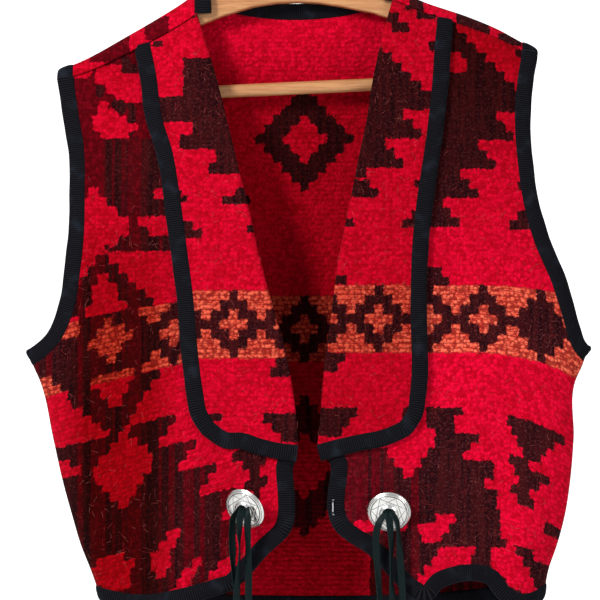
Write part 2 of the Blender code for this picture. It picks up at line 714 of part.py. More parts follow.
def eye_bar(points):
    """The straight metal eye on the face of the right front's binding, with a short foot at each end."""
    row = np.argmin(np.abs(points[:, 0, 2] + EYE_DROP))
    edge = points[row, 0]
    away = unit(edge - points[row, 1])
    middle = edge + away * 0.72 * BINDING_WIDTH
    fore = middle[1] - BINDING_HALF - EYE_WIRE - SEAM_GAP
    above, below = points[row - 1, 0], points[row + 1, 0]
    lean = (above[1] - below[1]) / (above[2] - below[2])
    bends = [(1, 0.5), (0.5, 0.5), (0, 0.42), (0, 0), (0, -0.42), (0.5, -0.5), (1, -0.5)]
    path = []
    for foot, level in bends:
        rise = level * EYE_HEIGHT
        path.append((middle[0] + foot * EYE_FOOT, fore + lean * rise, middle[2] + rise))
    wire_along("eye_bar", np.array(path), EYE_WIRE, "steel", sides=6)


def hanger():
    """Wooden arms as one piece, the round bar between their ends and the wire hook."""
    x = np.array(column(HANGER, 0), float) * MM
    lowered = np.where(np.abs(x) < 105 * MM, HANGER_UNDER_NECK, HANGER_UNDER_CLOTH)
    tops = ridge(x) + lowered
    rings = []
    for top, (place, bottom, half) in zip(tops, HANGER, strict=True):
        rise = max(1 - abs(place) / 75, 0)
        top += (HANGER_CENTRE_DROP * MM - top) * rise * (2 - rise)
        bottom, half = bottom * MM, half * MM
        bevel = 0.7 * half
        rings.append(
            np.array([
                (place * MM, -half + bevel, -top), (place * MM, half - bevel, -top),
                (place * MM, half, -top - bevel), (place * MM, half, -bottom + bevel),
                (place * MM, half - bevel, -bottom), (place * MM, -half + bevel, -bottom),
                (place * MM, -half, -bottom + bevel), (place * MM, -half, -top - bevel),
            ])
        )  # fmt: skip
    swept("hanger_body", rings, "wood")

    bar = []
    for end in (-BAR_END, BAR_END):
        drop = (BAR_DROP + BAR_SLOPE * (end + 20)) * MM
        turns = np.arange(14) * 2 * math.pi / 14
        ring = [(end * MM, BAR_RADIUS * math.cos(a), -drop + BAR_RADIUS * math.sin(a)) for a in turns]
        bar.append(np.array(ring))
    swept("hanger_bar", bar, "wood")

    centre = -(HOOK_BOW - HOOK_WIRE)
    turns = np.radians(np.linspace(200, -62, 19))
    bow = np.stack([HOOK_BOW * np.cos(turns), np.zeros(19), centre + HOOK_BOW * np.sin(turns)], axis=-1)
    stem = along([(4, 43.5), (0.6, 50), (0, 57), (0, HOOK_STEM_END / MM)], np.linspace(0, 1, 6))
    stem = np.stack([stem[:, 0], np.zeros(6), -stem[:, 1]], axis=-1)
    wire_along("hanger_hook", np.concatenate([bow, stem]), HOOK_WIRE, "steel")


def build():
    for old in list(bpy.data.objects):
        bpy.data.objects.remove(old)
    back = back_grid()
    cloth("back", *back[:3])
    back_bindings(back)
    for side in ("left", "right"):
        front = front_grid(side)
        cloth(f"front_{side}", *front)
        lapel = lapel_grid(side)
        cloth(f"lapel_{side}", *lapel)
        armhole_binding(side, front, back)
        front_binding(side, *front)
        lapel_binding(side, *lapel)
        concho(side)
        if side == "right":
            eye_bar(front[0])
    for name, rows in LACES.items():
        lace(name, rows)
    hanger()


build()
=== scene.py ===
"""The looks of a western vest of patterned blanket wool, hanging open on a wooden hanger.

Metres, +Z up, the viewer at -Y. The origin is the inside top of the hanger's hook. Left and right are the
viewer's. Tables are in millimetres: x from the middle, drop below the origin. Charts are in cells of
knitting, whose column 0 and row 0 are at the chart's origin.
"""

import math

import bmesh
import bpy
import numpy as np
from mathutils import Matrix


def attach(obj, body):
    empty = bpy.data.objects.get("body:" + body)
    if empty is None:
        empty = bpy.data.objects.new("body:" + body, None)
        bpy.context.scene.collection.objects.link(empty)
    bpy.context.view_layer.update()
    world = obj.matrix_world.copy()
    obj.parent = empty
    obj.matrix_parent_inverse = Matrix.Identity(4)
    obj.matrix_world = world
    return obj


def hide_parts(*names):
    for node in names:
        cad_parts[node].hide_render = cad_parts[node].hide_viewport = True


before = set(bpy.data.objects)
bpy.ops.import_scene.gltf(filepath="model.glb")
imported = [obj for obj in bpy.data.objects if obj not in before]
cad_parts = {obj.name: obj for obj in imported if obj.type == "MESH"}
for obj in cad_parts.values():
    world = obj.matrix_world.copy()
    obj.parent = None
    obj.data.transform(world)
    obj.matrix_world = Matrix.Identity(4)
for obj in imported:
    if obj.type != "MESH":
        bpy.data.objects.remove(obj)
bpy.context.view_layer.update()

MM = 0.001
SIDES = ("left", "right")

# Camera and light
VIEW_CENTRE = (1.84, -376.0)  # x, z in millimetres
VIEW_WIDTH = 552 * MM
VIEW_PLANE = -30 * MM  # the depth at which the view is that wide
CAMERA_DISTANCE = 3.0
SENSOR = 36.0
FLOOR_DROP = 1.5
FLOOR_RADIUS = 6.0
BACKDROP_BEHIND = 9.0
BACKDROP_WIDTH = 5.0
LAMPS = [
    # name, place, size, power
    ("key", (-1.7, -2.1, 0.9), 0.7, 86),
    ("fill", (1.9, -2.2, -0.2), 1.6, 24),
    ("back", (0.3, 2.0, 0.8), 1.6, 12),
]
WORLD_COLOUR = (0.97, 0.97, 0.965, 1)
WORLD_STRENGTH = 0.44

# Cloth
WALL = 2.4 * MM
SEAM_GAP = 0.3 * MM
SEAM_TUCK = 10 * MM
LAPEL_GAP = 4 * SEAM_GAP  # between the shoulder seam and the lapel's top
LAPEL_RISE = 4.6 * MM
ARM_ROUND = 14.0 * MM
FULL_DEPTH_AT = 170.0 * MM
SIDE_ROUND_X = 2.3
SIDE_ROUND_Y = 1.9
FOLD_FADE = 20 * MM  # folds fade out where the cloth is less deep than this
SLOPE_STEP = 0.4 * MM

# Flat areas of the cuts, in square metres
BACK_AREA = 0.262
FRONT_AREA = 0.094
LAPEL_AREA = 0.028

# Loose hairs: thickness, length, bend to the side, how far they stand off the wool, and how many
FIBRE_RADIUS = 0.06 * MM
FIBRE_LENGTH = (2.5, 7.5)
FIBRE_BEND = 1.2
FIBRE_RISE = (0.25, 0.9)
FIBRE_POINTS = 6
PANEL_FIBRES = 420
LAPEL_FIBRES = 220

# Knitted binding: half thickness, ribs, the rings that model each rib, and how much the knit swells
BINDING_HALF = 2.85 * MM
RIB_PITCH = 2.0 * MM
RIB_DEPTH = 0.3 * MM
RINGS_A_RIB = 4
RIB_SWELL = 0.12 * MM
WIDTH_SWELL = 0.22 * MM
BINDING_REACH = 12.8
# Its section: reach past the cloth's edge in millimetres, share of the half thickness
BINDING_SECTION = [
    (-2.6, 0.50), (-1.2, 0.74), (1.0, 0.93), (4.0, 1.0), (7.0, 1.0), (10.0, 0.86),
    (12.0, 0.5), (BINDING_REACH, 0.0), (12.0, -0.5), (10.0, -0.86), (7.0, -1.0), (4.0, -1.0),
    (1.0, -0.93), (-1.2, -0.74), (-2.6, -0.50),
]  # fmt: skip
# Slow swelling along it: pitch, size, start
BINDING_WAVES = [(23, 1, 0), (9.1, 0.7, 2), (4.3, 0.4, 1)]

# The eye's wire, height and place; how far its bar is past the cloth's edge and in front of it
EYE_WIRE = 0.75 * MM
EYE_HEIGHT = 13 * MM
EYE_DROP = 561.5 * MM
EYE_FOOT = 1.2 * MM
EYE_REACH = 8.928 * MM
EYE_STAND = 2.7 * MM
EYE_BENDS = [(1, 0.5), (0.5, 0.5), (0.12, 0.47), (0, 0.38)]  # shares of the foot and of the height
THREAD_RADIUS = 0.24 * MM
THREAD_PITCH = 2.2 * THREAD_RADIUS
THREAD_LOOP = 1.15 * MM
THREAD_TURNS = 4
THREAD_LEVEL = 0.4

# The fold over the hanger: x, drop
RIDGE = [
    (-225, 165), (-200, 155), (-158, 132), (-111, 104), (-90, 90), (0, 84),
    (87, 88), (116, 100), (160, 115), (184, 125), (208, 138), (223, 146),
]  # fmt: skip

# Half sections of the hollow form: drop, left side x, right side x, depth to the front, depth to the back
BODY = [
    (60, -226, 234, 24, 18),
    (163, -238, 244, 31, 23),
    (300, -250, 264, 39, 29),
    (400, -252, 269, 42, 32),
    (434, -246, 264, 43, 33),
    (450, -239, 257, 44, 34),
    (506, -226, 255, 47, 36),
    (542, -218, 252, 49, 38),
    (575, -209, 247, 52, 40),
    (605, -200, 239, 55, 42),
    (625, -192, 232, 57, 43),
    (645, -185, 228, 59, 44),
    (680, -178, 222, 61, 45),
]

# Soft folds: face, top x, top drop, bottom x, bottom drop, half width, depth inwards
FOLDS = [
    ("front", -168, 270, -142, 700, 30, 13),
    ("front", -104, 330, -86, 700, 24, -4),
    ("front", -212, 400, -186, 660, 16, -3),
    ("front", -72, 470, -80, 640, 20, 7),
    ("front", 150, 190, 136, 480, 26, 4),
    ("front", 196, 440, 172, 700, 22, 8),
    ("front", 100, 520, 128, 700, 20, -5),
    ("back", -120, 250, -96, 710, 34, 10),
    ("back", -10, 190, 12, 710, 40, -4),
    ("back", 128, 280, 104, 710, 30, 9),
    ("back", 190, 420, 176, 700, 20, -3),
]

SHOULDER_STRIP = [(-215, 9), (-151, 16), (-90, 19), (0, 14), (87, 10), (145, 9), (215, 6)]

# The cloth's edge inside the armhole's binding, from the shoulder to the underarm: x, drop
ARMHOLE = {
    "left": [
        (-211, 168), (-206, 201), (-200, 238), (-199, 275), (-200, 321), (-203, 348),
        (-207, 376), (-213, 396), (-221, 412), (-232, 424), (-241, 431), (-246, 434),
    ],
    "right": [
        (210, 147), (206, 170), (203, 201), (203, 220), (205, 248), (210, 286),
        (219, 319), (237, 362), (245, 387), (250, 404), (256, 420), (264, 430),
    ],
}  # fmt: skip

# The lapel's rolled edge, from the shoulder seam to the lapel's tip: x, drop
FOLD_EDGE = {
    "left": [
        (-93, 109), (-75, 172), (-63, 220), (-55, 253), (-47, 284), (-34.5, 339),
        (-21, 389), (-13, 416), (-8, 439), (-4.5, 460), (-1, 490), (0, 511),
    ],
    "right": [
        (87, 98), (76, 140), (68, 178), (63, 211), (57, 239), (48, 284),
        (37, 339), (29, 400), (25, 427), (22, 460), (19, 498), (17.5, 510),
    ],
}  # fmt: skip

# The cloth's edge inside the front edge's binding, from under the lapel to the hem's point: x, drop
FRONT_EDGE = {
    "left": [
        (-10, 506), (-17, 526), (-16, 552), (-16, 572), (-19, 583), (-31, 594),
        (-44, 608), (-55, 621), (-64, 630),
    ],
    "right": [
        (30, 502), (42, 522), (42, 541), (40, 556), (41, 572), (48, 583),
        (60, 590), (78, 604), (91, 618), (103, 631), (115, 639),
    ],
}  # fmt: skip

# The cloth's edge inside the hem's binding, from the point to the side seam: x, drop
FRONT_HEM = {
    "left": [(-64, 630), (-84, 636), (-109, 643), (-134, 649), (-160, 649), (-185, 643)],
    "right": [
        (115, 639), (124, 629), (136, 624), (153, 621), (169, 622), (182, 628),
        (190, 639), (202, 648), (215, 648), (228, 641),
    ],
}  # fmt: skip

# The lapel's edge inside its binding, from the shoulder seam to its lower corner: x, drop
LAPEL_SIDE = {
    "left": [
        (-139, 135), (-132, 174), (-128, 205), (-117, 241), (-110, 284), (-105, 321),
        (-98, 376), (-95, 413), (-89, 462), (-86, 478), (-79, 490),
    ],
    "right": [
        (131, 114), (128, 146), (126, 174), (123, 201), (118, 238), (111, 284),
        (107, 321), (105, 376), (104, 462), (101, 480), (94, 490),
    ],
}  # fmt: skip

# The lapel's edge inside its binding, from the rolled edge to the lower corner: x, drop
LAPEL_FOOT = {
    "left": [(0, 511), (-19, 509), (-35, 505), (-50, 500), (-65, 499), (-79, 490)],
    "right": [(17.5, 510), (40, 505), (59, 501), (78, 497), (94, 490)],
}

BACK_NECK_DROP = 112
BACK_NECK_CORNER = {"left": (-80, 99), "right": (78, 98)}
BACK_HEM = [(-185, 643), (-120, 652), (-30, 657), (60, 657), (150, 652), (228, 641)]

# Sections of the solids, and how many of the finer shell's rows or columns go to one of them
ARMHOLE_ROWS = 12
ARMHOLE_CLUSTER = 1.4
LAPEL_ROWS = 16
FRONT_ROWS = 28
FRONT_FINE = 8
FRONT_COLUMNS = 112
SIDE_CLUSTER = 1.25
LAPEL_FINE = 14
LAPEL_COLUMNS = 64
ROLL_STEPS = 8
BACK_OVER_ROWS = 7
BACK_ARM_ROWS = 10
BACK_ROWS = 22
BACK_FINE = 7
FOLD_SHARE = 0.43  # of the shoulder strip's rows lie in front of the fold
STRIP_EASE = 1.6
NECK_EASE = 2.2
SCOOP_POWER = 0.7  # below 1, the neckline is flatter in its middle
HEM_EVEN = 0.45  # how far the hem's columns follow those of the top
NECK_COLUMNS = 56
SHOULDER_COLUMNS = 56
SHOULDER_CLUSTER = 1.6

# Silver conchos: x, drop, turn to the side and down (degrees), middle in front of the cloth's middle
CONCHOS = {"left": (-46.5, 567, -32, 26, 12.6), "right": (82.8, 570, -4, 24, 10.8)}
# A concho's face from the hole to the rim and its hollow back: radius, rise
CONCHO_FACE = [(5.0, 4.6), (6.4, 5.4), (8.4, 4.2), (14.4, 3.1), (18.8, 1.6), (20.0, 0.4)]
CONCHO_BACK = [(5.4, 2.6), (8.4, 2.4), (14.4, 1.4), (19.0, 0.0)]
CONCHO_RINGS = 78
CONCHO_SPOKES = 288
# Its turned grooves: radius, width, depth. The star lies between the first and the last of them.
CONCHO_GROOVES = [(16.6, 0.35, 0.45), (18.2, 0.25, 0.3), (8.6, 0.22, 0.22)]
GROOVE_DARK = 0.3  # the depth at which a line looks fully dark
STAR_POINTS = 7
STAR_TURN = 0.2
STAR_LINE = (0.24, 0.26)  # width, depth
STAR_FADE = 0.5

# A lace's section, in shares of its half width and half thickness, and the slow curl along it
LACE_WIDTH = 6.6 * MM
LACE_THICKNESS = 1.1 * MM
LACE_STEP = 1.6 * MM
LACE_CURL = 0.5 * MM
LACE_CURL_PITCH = 31 * MM
LACE_CURL_START = 900  # radians for each metre of x, so that the laces differ
LACE_SECTION = [
    (-1, 0), (-0.93, 0.75), (-0.7, 1), (0, 0.85), (0.7, 1), (0.93, 0.75),
    (1, 0), (0.93, -0.75), (0.7, -1), (0, -0.85), (-0.7, -1), (-0.93, -0.75),
]  # fmt: skip

# Laces out of the conchos: x, drop and how far in front of the hanger's plane at each bend, and the turn of
# the flat side away from the viewer there, in degrees
LACES = {
    "left_1": [
        (-51.6, 563.5, 62, 70), (-54, 566.5, 67, 50), (-58.6, 573, 67, 40),
        (-60, 584, 65, 30), (-60, 598, 62.5, 20), (-59, 622, 62, 60),
        (-57.5, 650, 61.5, 80), (-57.5, 690, 61, 20), (-59, 716, 61, 0),
    ],
    "left_2": [
        (-49.6, 563, 63, 10), (-50.6, 567, 70, 5), (-52.6, 574, 72, 10),
        (-53.2, 584, 72, 35), (-53, 600, 71, 85), (-54, 625, 69.5, 60),
        (-56, 650, 69, 0), (-57, 680, 68.5, -20), (-56, 705, 68.5, 10),
    ],
    "left_3": [
        (-47.4, 564, 65, -50), (-46.6, 567.5, 72, -30), (-45.9, 574, 73.5, -10),
        (-45.8, 584, 72, -20), (-45.4, 600, 68, -40), (-45, 622, 64.5, 0),
        (-45, 645, 63.5, 15), (-45.5, 690, 63, 40), (-46.5, 722, 63, 10),
    ],
    "right_1": [
        (80.6, 566.5, 61, -70), (79, 570, 67.6, -50), (75, 576, 69.4, -30),
        (71.4, 586, 68, 0), (71, 600, 66.5, 10), (72.5, 622, 65.5, 25),
        (74.5, 650, 65, 40), (74, 690, 64.5, 10), (75, 724, 64.5, -15),
    ],
    "right_2": [
        (82.6, 566, 62, 0), (82.4, 570, 69, 0), (82.8, 576, 71.4, 10),
        (84, 586, 70, 20), (85, 600, 68, 45), (84.5, 622, 66.5, 80),
        (86.5, 650, 66, 20), (87.5, 680, 65.5, 0), (86.5, 704, 65.5, 20),
    ],
    "right_3": [
        (84.8, 566.5, 61, 70), (86.4, 570, 68, 50), (89.6, 576, 70.2, 45),
        (91.4, 586, 69, 60), (92.5, 600, 67.5, 30), (93.5, 622, 66, 0),
        (95.5, 650, 65, -25), (96, 690, 64.5, 0), (94.5, 714, 64.5, 30),
    ],
}  # fmt: skip

# The hanger's arms: x, bottom drop, half thickness
HANGER = [
    (-204, 184, 3.6), (-200, 194, 4.6), (-190, 197, 5.4), (-178.5, 197, 6.0), (-178, 168, 6.0),
    (-160, 158, 6.4), (-130, 142, 6.8), (-100, 125, 7.0), (-70, 113, 7.2), (-40, 104, 7.6),
    (-20, 101, 8.0), (0, 100, 8.0), (20, 101, 8.0), (40, 104, 7.6), (70, 110, 7.2),
    (100, 120, 7.0), (130, 129, 6.8), (160, 139, 6.4), (178, 148, 6.0), (178.5, 180, 6.0),
    (190, 180, 5.4), (200, 177, 4.6), (204, 168, 3.6),
]  # fmt: skip
HANGER_UNDER_CLOTH = 2.5 * MM
HANGER_UNDER_NECK = 5.2 * MM
HANGER_NECK_ENDS = (100, 112)  # x, to either side, between which the arms go under the cloth
HANGER_CENTRE_DROP = 66
HANGER_HUB = 75  # half the width of the rise in the middle
HANGER_SIDES = 32
HANGER_BEVEL = 0.7  # share of the half thickness
HANGER_SQUARE = 0.45  # 1 is round, 0 square
BAR_DROP = 180
BAR_SLOPE = -0.046
BAR_LEVEL_AT = -20  # the x at which it has that drop
BAR_END = 177.6
BAR_RADIUS = 6.0 * MM
HOOK_WIRE = 1.9 * MM
HOOK_BOW = 21.0 * MM
HOOK_TURNS = (200, -62)
HOOK_STEM = [(4, 43.5), (0.6, 50), (0, 57), (0, 65.6)]  # x, drop

# The knitted chart: a cell's width and height, and the band's rows. Row 0 is the top of the orange band.
CELL_WIDTH = 8.4
CELL_HEIGHT = 8.9
BAND_ROWS = 7
OUTSIDE = 9.0  # a distance that is well outside every motif
INK_LIMIT = 2  # cells; no need to know a greater distance to a figure's edge

# How the rows sag on the fronts, in millimetres: beyond an x on the right, and aslant on the left
SAG_FROM_X = 158
SAG_BEND = 0.002
SAG_MIDDLE_DROP = 362
SAG_GROWTH = 120
SLANT = -0.25
SLANT_FROM_DROP = 330
SLANT_GROWTH = 74

# Painted shade: how much darker the wool is painted, from 0 to 1, where less light falls on it: drops and
# the shades there, and across the left front x as well
PAINTED_SHADES = {
    "front_left": ([200, 290, 370, 480], [0.5, 0.6, 0.92, 1]),
    "front_right": ([130, 250, 300, 420], [0.9, 0.5, 0.3, 0]),
    "back": ([120, 200], [0.2, 0.78]),
    "lapel_left": ([0], [0.36]),
    "lapel_right": ([0], [0.56]),
}
LEFT_PAINTED_SHADE_ACROSS = ([-225, -195, -135, -105], [0.35, 1, 1, 0.4])


def unit(vectors):
    """The vectors along the last axis, at length 1."""
    return vectors / np.maximum(np.linalg.norm(vectors, axis=-1, keepdims=True), 1e-12)


def eased(keys, values, at):
    """A smooth curve through the values, whose slopes are those between their neighbours."""
    keys, values = np.asarray(keys, float), np.asarray(values, float)
    slopes = np.gradient(values, keys)
    at = np.clip(at, keys[0], keys[-1])
    i = np.clip(np.searchsorted(keys, at) - 1, 0, len(keys) - 2)
    step = keys[i + 1] - keys[i]
    t = (at - keys[i]) / step
    rise = values[i + 1] - values[i]
    return (
        values[i]
        + rise * (3 * t**2 - 2 * t**3)
        + step * (slopes[i] * (t**3 - 2 * t**2 + t) + slopes[i + 1] * (t**3 - t**2))
    )


def lengths_along(path):
    """The distance from the start to each point."""
    return np.concatenate([[0], np.cumsum(np.linalg.norm(np.diff(path, axis=0), axis=1))])


def along(rows, shares):
    """Points of a smooth line through the table's rows, at shares of its length, in metres."""
    rows = np.array(rows, float) * MM
    lengths = lengths_along(rows)
    at = np.asarray(shares, float) * lengths[-1]
    return np.stack([eased(lengths, rows[:, k], at) for k in range(rows.shape[1])], axis=-1)


def finer(line, factor):
    """The same line with more points."""
    keys = np.arange(len(line))
    at = np.arange((len(line) - 1) * factor + 1) / factor
    return np.stack([eased(keys, line[:, k], at) for k in range(line.shape[1])], axis=-1)


def column(rows, number):
    return [row[number] for row in rows]


def full_turn(count):
    """Evenly spaced angles of one turn."""
    return np.arange(count) * 2 * math.pi / count


def curve(rows, at, k=1):
    """The smooth curve through a table's column k over its column 0, in metres."""
    return eased(column(rows, 0), column(rows, k), at / MM) * MM


def ridge(x):
    """The drop of the fold over the hanger."""
    return curve(RIDGE, x)


def strip(x):
    """How far the back comes forward over the shoulder."""
    return curve(SHOULDER_STRIP, x)


def body(drop):
    """The hollow form's left and right side and its depth to the front and to the back."""
    return [curve(BODY, drop, k) for k in (1, 2, 3, 4)]


def fold_depth(face, x, drop):
    """How far the folds push a face inwards."""
    total = np.zeros_like(x)
    for fold_face, top_x, top, bottom_x, bottom, half_width, depth in FOLDS:
        if fold_face == face:
            share = np.clip((drop / MM - top) / (bottom - top), 0, 1)
            middle = (top_x + (bottom_x - top_x) * share) * MM
            away = (x - middle) / (half_width * MM)
            grown = share * (2 - share)
            total += depth * MM * grown * np.exp(-(away**2))
    return total


def depth_at(face, x, drop):
    """How far in front of, or behind, the plane of the hanger the middle of the cloth lies."""
    x, drop = np.asarray(x, float), np.asarray(drop, float)
    left, right, front, back = body(drop)
    full = front if face == "front" else back
    across = np.clip(np.abs((2 * x - left - right) / (right - left)), 0, 1)
    rounded = (1 - across**SIDE_ROUND_X) ** (1 / SIDE_ROUND_Y)
    below = np.maximum(drop - ridge(x), 0)
    over_arm = np.sqrt(1 - (1 - np.minimum(below / ARM_ROUND, 1)) ** 2)
    share = np.clip(below / FULL_DEPTH_AT, 0, 1)
    growth = share**2 * (3 - 2 * share)
    plain = rounded * (ARM_ROUND * over_arm + (full - ARM_ROUND) * growth)
    return np.maximum(plain - fold_depth(face, x, drop) * np.minimum(plain / FOLD_FADE, 1), 0)


def on_face(face, x, drop):
    """Points of the cloth's middle on one face."""
    side = -1 if face == "front" else 1
    return np.stack([x, side * depth_at(face, x, drop), -drop], axis=-1)


def normals_on(face, x, drop):
    """Outward directions of a face, from its slopes."""
    step = SLOPE_STEP
    side = -1 if face == "front" else 1
    left, right, _, _ = body(drop)
    x = np.clip(x, left + 1.5 * step, right - 1.5 * step)
    drop = np.maximum(drop, ridge(x) + 1.5 * step)
    across = (depth_at(face, x + step, drop) - depth_at(face, x - step, drop)) / (2 * step)
    down = (depth_at(face, x, drop + step) - depth_at(face, x, drop - step)) / (2 * step)
    return unit(np.stack([-across, np.full_like(across, side), down], axis=-1))


def linked(name, data):
    """A new object in the scene."""
    made = bpy.data.objects.new(name, data)
    bpy.context.scene.collection.objects.link(made)
    return made


def mesh_object(name, points, faces, material, attributes=()):
    """A smooth-shaded mesh with its faces turned outwards, and attributes: name, values a point."""
    points, faces = np.asarray(points, float), np.asarray(faces, int)
    corners = points[faces]
    volume = np.einsum("ij,ij->i", corners[:, 0], np.cross(corners[:, 1], corners[:, 2])).sum()
    if faces.shape[1] == 4:
        volume += np.einsum("ij,ij->i", corners[:, 0], np.cross(corners[:, 2], corners[:, 3])).sum()
    if volume < 0:
        faces = faces[:, ::-1]
    mesh = bpy.data.meshes.new(name)
    mesh.from_pydata(points.tolist(), [], faces.tolist())
    mesh.shade_smooth()
    for title, values in attributes:
        kind = "FLOAT" if np.ndim(values) == 1 else "FLOAT_VECTOR"
        field = "value" if kind == "FLOAT" else "vector"
        layer = mesh.attributes.new(title, kind, "POINT")
        layer.data.foreach_set(field, np.asarray(values, np.float32).ravel())
    mesh.materials.append(material)
    return linked(name, mesh)


def added(obj):
    """Rides on the vest, beside the CAD nodes."""
    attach(obj, "root")


def dressed(obj, node):
    """Rides on the vest, in place of the CAD node."""
    obj.name = f"dressed_{node}"
    added(obj)
    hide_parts(node)


def grid_faces(rows, columns, present=None):
    """Four-sided faces of a grid of points."""
    number = np.arange(rows * columns).reshape(rows, columns)
    quads = np.stack([number[:-1, :-1], number[:-1, 1:], number[1:, 1:], number[1:, :-1]], axis=-1)
    return quads.reshape(-1, 4) if present is None else quads[present]


def shell(name, points, normals, material, attributes, present=None):
    """A closed wall over a grid of points, half its thickness to each side.

    present says which cells of the grid are cloth.
    """
    rows, columns = points.shape[:2]
    quads = grid_faces(rows, columns, present)
    used = np.unique(quads)
    number = np.full(rows * columns, -1)
    number[used] = np.arange(len(used))
    quads = number[quads]
    middle, out = points.reshape(-1, 3)[used], normals.reshape(-1, 3)[used]
    count = len(used)
    starts, ends = quads.ravel(), np.roll(quads, -1, axis=1).ravel()
    forward = starts * count + ends
    rim = ~np.isin(forward, ends * count + starts)
    a, b = starts[rim], ends[rim]
    side = np.stack([b, a, count + a, count + b], axis=-1)
    faces = np.concatenate([quads, quads[:, ::-1] + count, side])
    both = np.concatenate([middle + out * WALL / 2, middle - out * WALL / 2])
    doubled = []
    for title, values in attributes:
        kept = values.reshape(rows * columns, -1)[used]
        kept = kept if values.ndim == 3 else kept[:, 0]
        doubled.append((title, np.concatenate([kept, kept])))
    return mesh_object(name, both, faces, material, doubled)


def swept(name, rings, material, attributes=(), closed=False):
    """A solid through rings of points, closed into a loop or with a rounded-off cap at each end."""
    rings = np.asarray(rings)
    if not closed:
        first, last = rings[:1].mean(axis=1, keepdims=True), rings[-1:].mean(axis=1, keepdims=True)
        near_first, near_last = first + 0.01 * (rings[:1] - first), last + 0.01 * (rings[-1:] - last)
        rings = np.concatenate([near_first, rings, near_last])
        attributes = [(title, np.concatenate([v[:1], v, v[-1:]])) for title, v in attributes]
    count, size = rings.shape[:2]
    spans = count if closed else count - 1
    here = np.arange(spans)[:, None] * size
    there = (np.arange(spans)[:, None] + 1) % count * size
    k = np.arange(size)[None]
    after = (k + 1) % size
    faces = np.stack([here + k, here + after, there + after, there + k], axis=-1).reshape(-1, 4)
    flat = [(title, np.asarray(v).reshape(count * size, -1)) for title, v in attributes]
    flat = [(title, v[:, 0] if v.shape[1] == 1 else v) for title, v in flat]
    made = mesh_object(name, rings.reshape(-1, 3), faces, material, flat)
    if not closed:
        close_ends(made)
    return made


def close_ends(obj):
    """Fills the tiny hole that is left at each end of a sweep."""
    mesh = obj.data
    size_faces = len(mesh.polygons)
    work = bmesh.new()
    work.from_mesh(mesh)
    bmesh.ops.holes_fill(work, edges=[e for e in work.edges if e.is_boundary])
    bmesh.ops.recalc_face_normals(work, faces=work.faces)
    work.to_mesh(mesh)
    work.free()
    for polygon in mesh.polygons[size_faces:]:
        polygon.use_smooth = True


# Chart


def block(left, right, top, bottom):
    return [(left, right, top, bottom)]


def steps(top, extents, height=1.0):
    """Rows one under another, each from its left to its right column."""
    return [(a, b, top + k * height, top + (k + 1) * height) for k, (a, b) in enumerate(extents)]


def stepped(middle, top, widths, height=1.0):
    """A figure with both sides alike, from the width of each row."""
    return steps(top, [(middle - w / 2, middle + w / 2) for w in widths], height)


def diamond(middle, centre_row, half):
    """A solid stepped diamond, as wide as it is tall."""
    widths = [2 * (half - abs(k)) - 1 for k in range(1 - half, half)]
    return stepped(middle, centre_row - half + 0.5, widths)


def saw(left, first_right, top, teeth, shift, step=1.0, run=3):
    """A field whose right edge goes in flights of steps, each starting shift columns from the last."""
    extents = []
    for tooth in range(teeth):
        extents += [(left, first_right + shift * tooth + step * k) for k in range(run)]
    return steps(top, extents)


def band_diamond(middle):
    """The band's dark diamond, with a link to its neighbours and an orange cross in its middle."""
    dark = stepped(middle, 0, [1, 3, 5, 7, 5, 3, 1])
    return dark, stepped(middle, 2, [1, 3, 1])


def mirrored(boxes):
    return [(-right, -left, top, bottom) for left, right, top, bottom in boxes]


